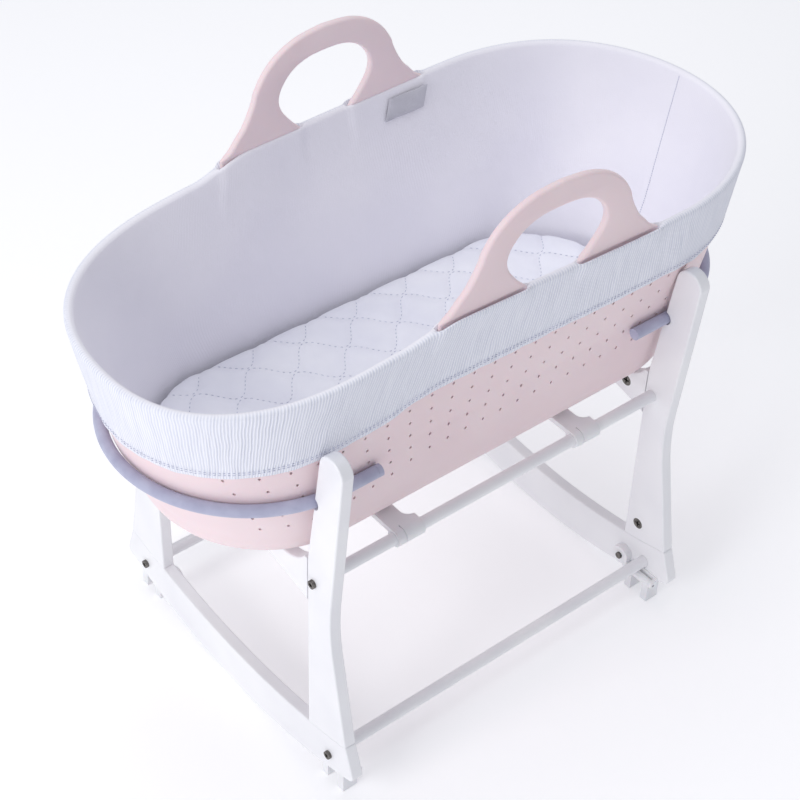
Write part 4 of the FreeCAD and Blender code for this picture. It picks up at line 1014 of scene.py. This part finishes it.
class ClothSizes(bpy.types.PropertyGroup):
    rib_pitch: length_property("Rib pitch", "Width of one rib of the jersey, a little coarse", 3.4)
    skirt_gap: length_property("Skirt gap", "How far the skirt stands off the shell", 1.2)
    pucker: length_property("Pucker", "Depth of the hem's puckers", 1.5)
    slack: length_property("Slack", "Fullness of the lining between rim and mattress", 4.0)
    slit_depth: length_property("Slit depth", "How far the rim sinks round a loop's foot", 15.0)
    cloth_thick: length_property("Cloth thickness", "Thickness of the jersey", 1.2)
    stitch_pitch: length_property("Stitch pitch", "Distance from one stitch to the next", 5.0)


class MattressSizes(bpy.types.PropertyGroup):
    swell: length_property("Swell", "How much the pad grows when it is filled", 3.5)
    quilt_cell: length_property("Quilt cell", "Width of one quilted cell", 76.0)
    quilt_length: length_property("Quilt length", "Length of one quilted cell", 76.0)
    quilt_depth: length_property("Quilt depth", "Depth of the stitched lines", 2.6)
    stitch_pitch: length_property("Stitch pitch", "Distance from one quilting stitch to the next", 7.0)


class Colours(bpy.types.PropertyGroup):
    wood: hex_property("Lacquer", "White lacquer of the stand", "#F4F4F6")
    wood_shade: hex_property("Lacquer shade", "Lacquer where the wood tells through", "#ECECF0")
    nylon: hex_property("Nylon", "Moulded nylon fittings", "#F1F1F3")
    nylon_shade: hex_property("Nylon shade", "Darker cast of the nylon", "#E6E6EA")
    sleeve: hex_property("Sleeve", "Foam sleeves of the hoops", "#BCBED4")
    # The sleeve's darker tone is painted shade for the hollows of its creases.
    sleeve_painted_crease_shade: hex_property("Sleeve shade", "Creases of the foam sleeves", "#A9AAC4")
    shell: hex_property("Shell", "Pale pink of the moulded shell", "#F2DFE2")
    shell_shade: hex_property("Shell shade", "Darker cast of the shell", "#ECD6DA")
    jersey: hex_property("Jersey", "Ribs of the liner", "#F1F2FA")
    # Painted shade for the valleys between the ribs.
    jersey_painted_valley_shade: hex_property("Jersey valleys", "Shade between the ribs", "#D9DCEA")
    # Both lining tones are the jersey's own white with a painted pink tint of light bounced off the shell.
    lining: hex_property("Lining", "Jersey inside the basket, warmed by the shell", "#F7F5FB")
    lining_shade: hex_property("Lining shade", "Darker cast of the lining", "#EEECF5")
    quilt: hex_property("Mattress", "Mattress cover", "#F2F3FA")
    quilt_shade: hex_property("Mattress shade", "Darker cast of the mattress cover", "#EAEBF5")
    # Thread tones darker than the cloth: painted shade for the pits the stitches sink into; the darker tone
    # is also painted shade in the twist's grooves.
    thread: hex_property("Thread", "Sewing thread", "#C9CCDC")
    thread_painted_pit_shade: hex_property("Thread shade", "Shaded twist of the thread", "#ACB0C6")


# ---------------------------------------------------------------- operators

class BuildFinishes(bpy.types.Operator):
    """Makes every material and gives the stand's pieces theirs"""
    bl_idname = "bassinet.finishes"
    bl_label = "Finishes"

    def execute(self, context):
        scene = context.scene
        make_materials(scene.bassinet_colours, scene.bassinet_cloth)
        ends = ("head", "foot")
        boards = [f"{kind}_{end}" for kind in ("rocker", "cross_tie") for end in ends]
        boards += [f"leg_{end}_{side}" for end in ends for side in SIDES]
        finish_nodes("Beech, satin lacquered", *boards)
        finish_nodes("Steel tube, powder coated",
                     *[f"rail_{level}_{side}" for level in ("lower", "upper") for side in SIDES])
        finish_nodes("Nylon, injection moulded", "rail_plugs", "stop_brackets",
                     *[f"cradle_bar_{end}" for end in ends],
                     *[f"stop_{end}_{side}" for end in ends for side in SIDES])
        finish_nodes("Zinc plate, dark", "rail_bolts", "cam_locks", "stop_screws")
        finish_nodes("Steel, bright", "cam_studs", "hoop_screws", "stop_pins",
                     *[f"hoop_core_{end}" for end in ends])
        finish_nodes("Beech, turned", "wood_dowels")
        finish_nodes("Foam tube, skinned", "hoop_end_caps", *[f"hoop_sleeve_{end}" for end in ends])
        finish_nodes("Hardboard, pressed", "base_stiffener")
        finish_nodes("Polyurethane foam, cut", "mattress_core")
        return {"FINISHED"}


class BuildShell(bpy.types.Operator):
    """Makes the moulded shell with its rows of air holes, and its two carrying loops"""
    bl_idname = "bassinet.shell"
    bl_label = "Shell"

    def execute(self, context):
        sizes = context.scene.bassinet_basket
        shell = new_piece("basket_shell_foam", shell_body(sizes))
        foam = bpy.data.materials["EVA foam, moulded"]
        shell.data.materials.append(foam)
        punches = new_piece("hole_punches", hole_points(sizes))
        grow(punches, perforation_tree(), Width=sizes.hole_wide, Length=sizes.hole_long,
             Depth=2.4 * WALL * MM)
        modifier(shell, "BOOLEAN", operation="DIFFERENCE", object=punches, solver="EXACT")
        settle(shell)
        bpy.data.objects.remove(punches)
        shade(shell, 35.0)
        finish_piece(shell, "basket", foam, "pink_shell", "basket_shell")
        for name, side in SIDES.items():
            loop = new_piece(f"handle_{name}", handle_mesh(side, sizes))
            shade(loop, 35.0)
            finish_piece(loop, "basket", foam, "pink_shell", "basket_shell")
        return {"FINISHED"}


class BuildLiner(bpy.types.Operator):
    """Makes the ribbed jersey liner with its hem stitches and its woven tag"""
    bl_idname = "bassinet.liner"
    bl_label = "Liner"

    def execute(self, context):
        sizes, cloth = context.scene.bassinet_basket, context.scene.bassinet_cloth
        jersey = bpy.data.materials["Cotton jersey, rib knit"]
        liner = new_piece("liner_jersey", liner_mesh(sizes, cloth))
        weld(liner.data)
        modifier(liner, "SOLIDIFY", thickness=cloth.cloth_thick, offset=0.0)
        settle(liner)
        shade(liner, 60.0)
        finish_piece(liner, "basket", jersey, "jersey", "liner")
        hem = self.stitches(sizes, cloth)
        seam = self.seam(liner)
        self.tag()
        return {"FINISHED"}

    def stitches(self, sizes, cloth):
        columns = spots(LINER_END, LINER_FLANK)
        drop = sizes.hem_drop / MM
        off = cloth.skirt_gap / MM + 3.6
        rows = [stitch_line(columns, off, drop - up) for up in (7.0, 10.5)]
        hem = new_piece("hem_stitches", path_mesh("hem_stitches", rows))
        grow(hem, stitch_tree(), Pitch=cloth.stitch_pitch, Length=0.62 * cloth.stitch_pitch,
             Thickness=0.9 * MM)
        shade(hem)
        finish_piece(hem, "basket", bpy.data.materials["Cotton thread, spun"], "jersey")
        return hem

    def seam(self, liner):
        """The stitched seam that joins the lining at the head end, laid on the cloth."""
        path = []
        height = RIM - 12.0
        while height > PAD_HIGH[2] - 6:
            place = Vector((150.0, 17.0, height)) * MM
            hit, found, _, _ = liner.ray_cast(place, Vector((1, 0, 0)))
            if hit:
                path.append((found.x / MM - 0.2, found.y / MM, height))
            height -= 3.0
        seam = new_piece("lining_seam", path_mesh("lining_seam", [path]))
        grow(seam, stitch_tree(), Pitch=3.2 * MM, Length=2.6 * MM, Thickness=1.1 * MM)
        shade(seam)
        finish_piece(seam, "basket", bpy.data.materials["Cotton thread, spun"], "jersey")
        return seam

    def tag(self):
        """A folded woven tag, its ends turned under, that follows the lining's lean."""
        middle = [(TAG_LOW[i] + TAG_HIGH[i]) / 2 for i in range(3)]
        long, high = TAG_HIGH[0] - TAG_LOW[0], TAG_HIGH[2] - TAG_LOW[2]
        lean = (LEVELS[3][2] - LEVELS[2][2]) / (LEVELS[3][0] - LEVELS[2][0])
        work = bmesh.new()
        bmesh.ops.create_grid(work, x_segments=24, y_segments=14, size=0.5)
        for point in work.verts:
            along, up = point.co.x, point.co.y
            bulge = 1.4 * (1 - (2 * up) ** 4) * (1 - (2 * along) ** 6) + 0.4 * math.sin(9 * along)
            point.co = Vector((middle[0] + along * long + up * high * 0.35,
                               middle[1] - bulge + up * high * lean, middle[2] + up * high)) * MM
        mesh = bpy.data.meshes.new("tag_tape")
        work.to_mesh(mesh)
        work.free()
        tag = new_piece("liner_tag_tape", mesh)
        modifier(tag, "SOLIDIFY", thickness=0.9 * MM, offset=0.0)
        modifier(tag, "BEVEL", width=0.3 * MM, segments=2)
        settle(tag)
        shade(tag, 50.0)
        finish_piece(tag, "basket", bpy.data.materials["Polyester tape, woven"], "tag_weave", "liner_tag")
        return tag


class BuildMattress(bpy.types.Operator):
    """Makes the filled mattress with its quilted top and the stitches in its quilting"""
    bl_idname = "bassinet.mattress"
    bl_label = "Mattress"

    def execute(self, context):
        sizes = context.scene.bassinet_mattress
        pad = new_piece("mattress_quilt", pad_block())
        inflate(pad, 6 * MM, 4.0, sizes.swell)
        modifier(pad, "SUBSURF", levels=1, render_levels=1)
        settle(pad)
        middle = (PAD_LOW[2] + PAD_HIGH[2]) / 2 * MM
        for point in pad.data.vertices:
            x, y = point.co.x / MM, point.co.y / MM
            if point.co.z > middle and inside_pad(x, y, 6.0):
                point.co.z += (1.6 - quilt_depth(x, y, sizes)) * MM
        shade(pad, 60.0)
        finish_piece(pad, "mattress", bpy.data.materials["Microfibre, brushed"], "quilt",
                     "mattress_cover", "mattress_core")
        self.stitches(pad, sizes)
        return {"FINISHED"}

    def stitches(self, pad, sizes):
        """Quilting stitches on the lines, each laid on the pad's top."""
        paths = [[]]
        for line in quilt_lines(sizes):
            for x, y in line:
                hit, place, _, _ = pad.ray_cast(Vector((x, y, PAD_HIGH[2] + 60)) * MM, Vector((0, 0, -1)))
                if hit and inside_pad(x, y, 16.0):
                    paths[-1].append((x, y, place.z / MM + 0.2))
                else:
                    paths.append([])
            paths.append([])
        paths = [path for path in paths if len(path) > 3]
        quilting = new_piece("quilt_stitches", path_mesh("quilt_stitches", paths))
        grow(quilting, stitch_tree(), Pitch=sizes.stitch_pitch, Length=0.5 * sizes.stitch_pitch,
             Thickness=1.0 * MM)
        shade(quilting)
        finish_piece(quilting, "mattress", bpy.data.materials["Cotton thread, spun"], "quilt")


# (name, place and width in metres, power in watts)
LAMPS = (
    ("key", (-3.2, -0.3, 1.9), 2.0, 46),
    ("top", (0.3, 0.6, 3.4), 3.0, 30),
)


class BuildStage(bpy.types.Operator):
    """Makes the pale floor, the soft lights and the camera"""
    bl_idname = "bassinet.stage"
    bl_label = "Stage"

    def execute(self, context):
        scene = context.scene
        mesh = bpy.data.meshes.new("floor")
        reach = 60.0
        mesh.from_pydata([(-reach, -reach, -0.0005), (reach, -reach, -0.0005), (reach, reach, -0.0005),
                          (-reach, reach, -0.0005)], [], [(0, 1, 2, 3)])
        floor = new_piece("floor", mesh)
        made, tree, surface = start_material("Paper, seamless")
        set_inputs(tree, surface, Base_Color=linear("#F8F8FA"), Roughness=0.9,
                   Emission_Color=linear("#FFFFFF"), Emission_Strength=0.22)
        mesh.materials.append(made)
        world = bpy.data.worlds.new("studio")
        world.use_nodes = True
        world.node_tree.nodes["Background"].inputs["Color"].default_value = linear("#F4F6FD")
        world.node_tree.nodes["Background"].inputs["Strength"].default_value = 0.52
        scene.world = world
        scene.view_settings.view_transform = "Standard"
        middle = Vector((0, 0, 0.4))
        for name, place, size, power in LAMPS:
            light = bpy.data.lights.new(name, "AREA")
            light.shape = "DISK"
            light.size = size
            light.energy = power
            lamp = bpy.data.objects.new(name, light)
            lamp.location = place
            lamp.rotation_euler = (middle - Vector(place)).to_track_quat("-Z", "Y").to_euler()
            scene.collection.objects.link(lamp)
        self.camera(scene)
        return {"FINISHED"}

    def camera(self, scene):
        """Looks down along the foot end's right-hand corner."""
        turn, tilt, roll = math.radians(-40.283), math.radians(41.301), math.radians(2.128)
        target, distance = Vector((0.1495, 0.2032, 0.0971)), 2.573
        back = Vector((math.sin(turn) * math.cos(tilt), -math.cos(turn) * math.cos(tilt), math.sin(tilt)))
        right = (-back).cross(Vector((0, 0, 1))).normalized()
        up = right.cross(-back)
        across = right * math.cos(roll) + up * math.sin(roll)
        upright = up * math.cos(roll) - right * math.sin(roll)
        data = bpy.data.cameras.new("camera")
        data.sensor_width = 36.0
        data.lens = 84.63
        view = bpy.data.objects.new("camera", data)
        view.matrix_world = (Matrix.Translation(target + back * distance)
                             @ Matrix((across, upright, back)).transposed().to_4x4())
        scene.collection.objects.link(view)
        scene.camera = view


class BassinetPanel(bpy.types.Panel):
    """Lists the pieces and their sizes"""
    bl_idname = "VIEW3D_PT_bassinet"
    bl_label = "Bassinet"
    bl_space_type = "VIEW_3D"
    bl_region_type = "UI"
    bl_category = "Bassinet"

    def draw(self, context):
        for operator in OPERATORS:
            self.layout.operator(operator.bl_idname)
        for key in GROUPS:
            group = getattr(context.scene, key)
            for name in group.__annotations__:
                self.layout.prop(group, name)


GROUPS = {
    "bassinet_basket": BasketSizes,
    "bassinet_cloth": ClothSizes,
    "bassinet_mattress": MattressSizes,
    "bassinet_colours": Colours,
}
OPERATORS = (BuildFinishes, BuildShell, BuildLiner, BuildMattress, BuildStage)


def register():
    for key, group in GROUPS.items():
        bpy.utils.register_class(group)
        setattr(bpy.types.Scene, key, bpy.props.PointerProperty(type=group))
    for made in (*OPERATORS, BassinetPanel):
        bpy.utils.register_class(made)


def unregister():
    for made in (*OPERATORS, BassinetPanel):
        bpy.utils.unregister_class(made)
    for key, group in GROUPS.items():
        delattr(bpy.types.Scene, key)
        bpy.utils.unregister_class(group)


def main():
    register()
    bpy.ops.bassinet.stage()
    bpy.ops.bassinet.finishes()
    bpy.ops.bassinet.shell()
    bpy.ops.bassinet.liner()
    bpy.ops.bassinet.mattress()


if __name__ == "__main__":
    main()
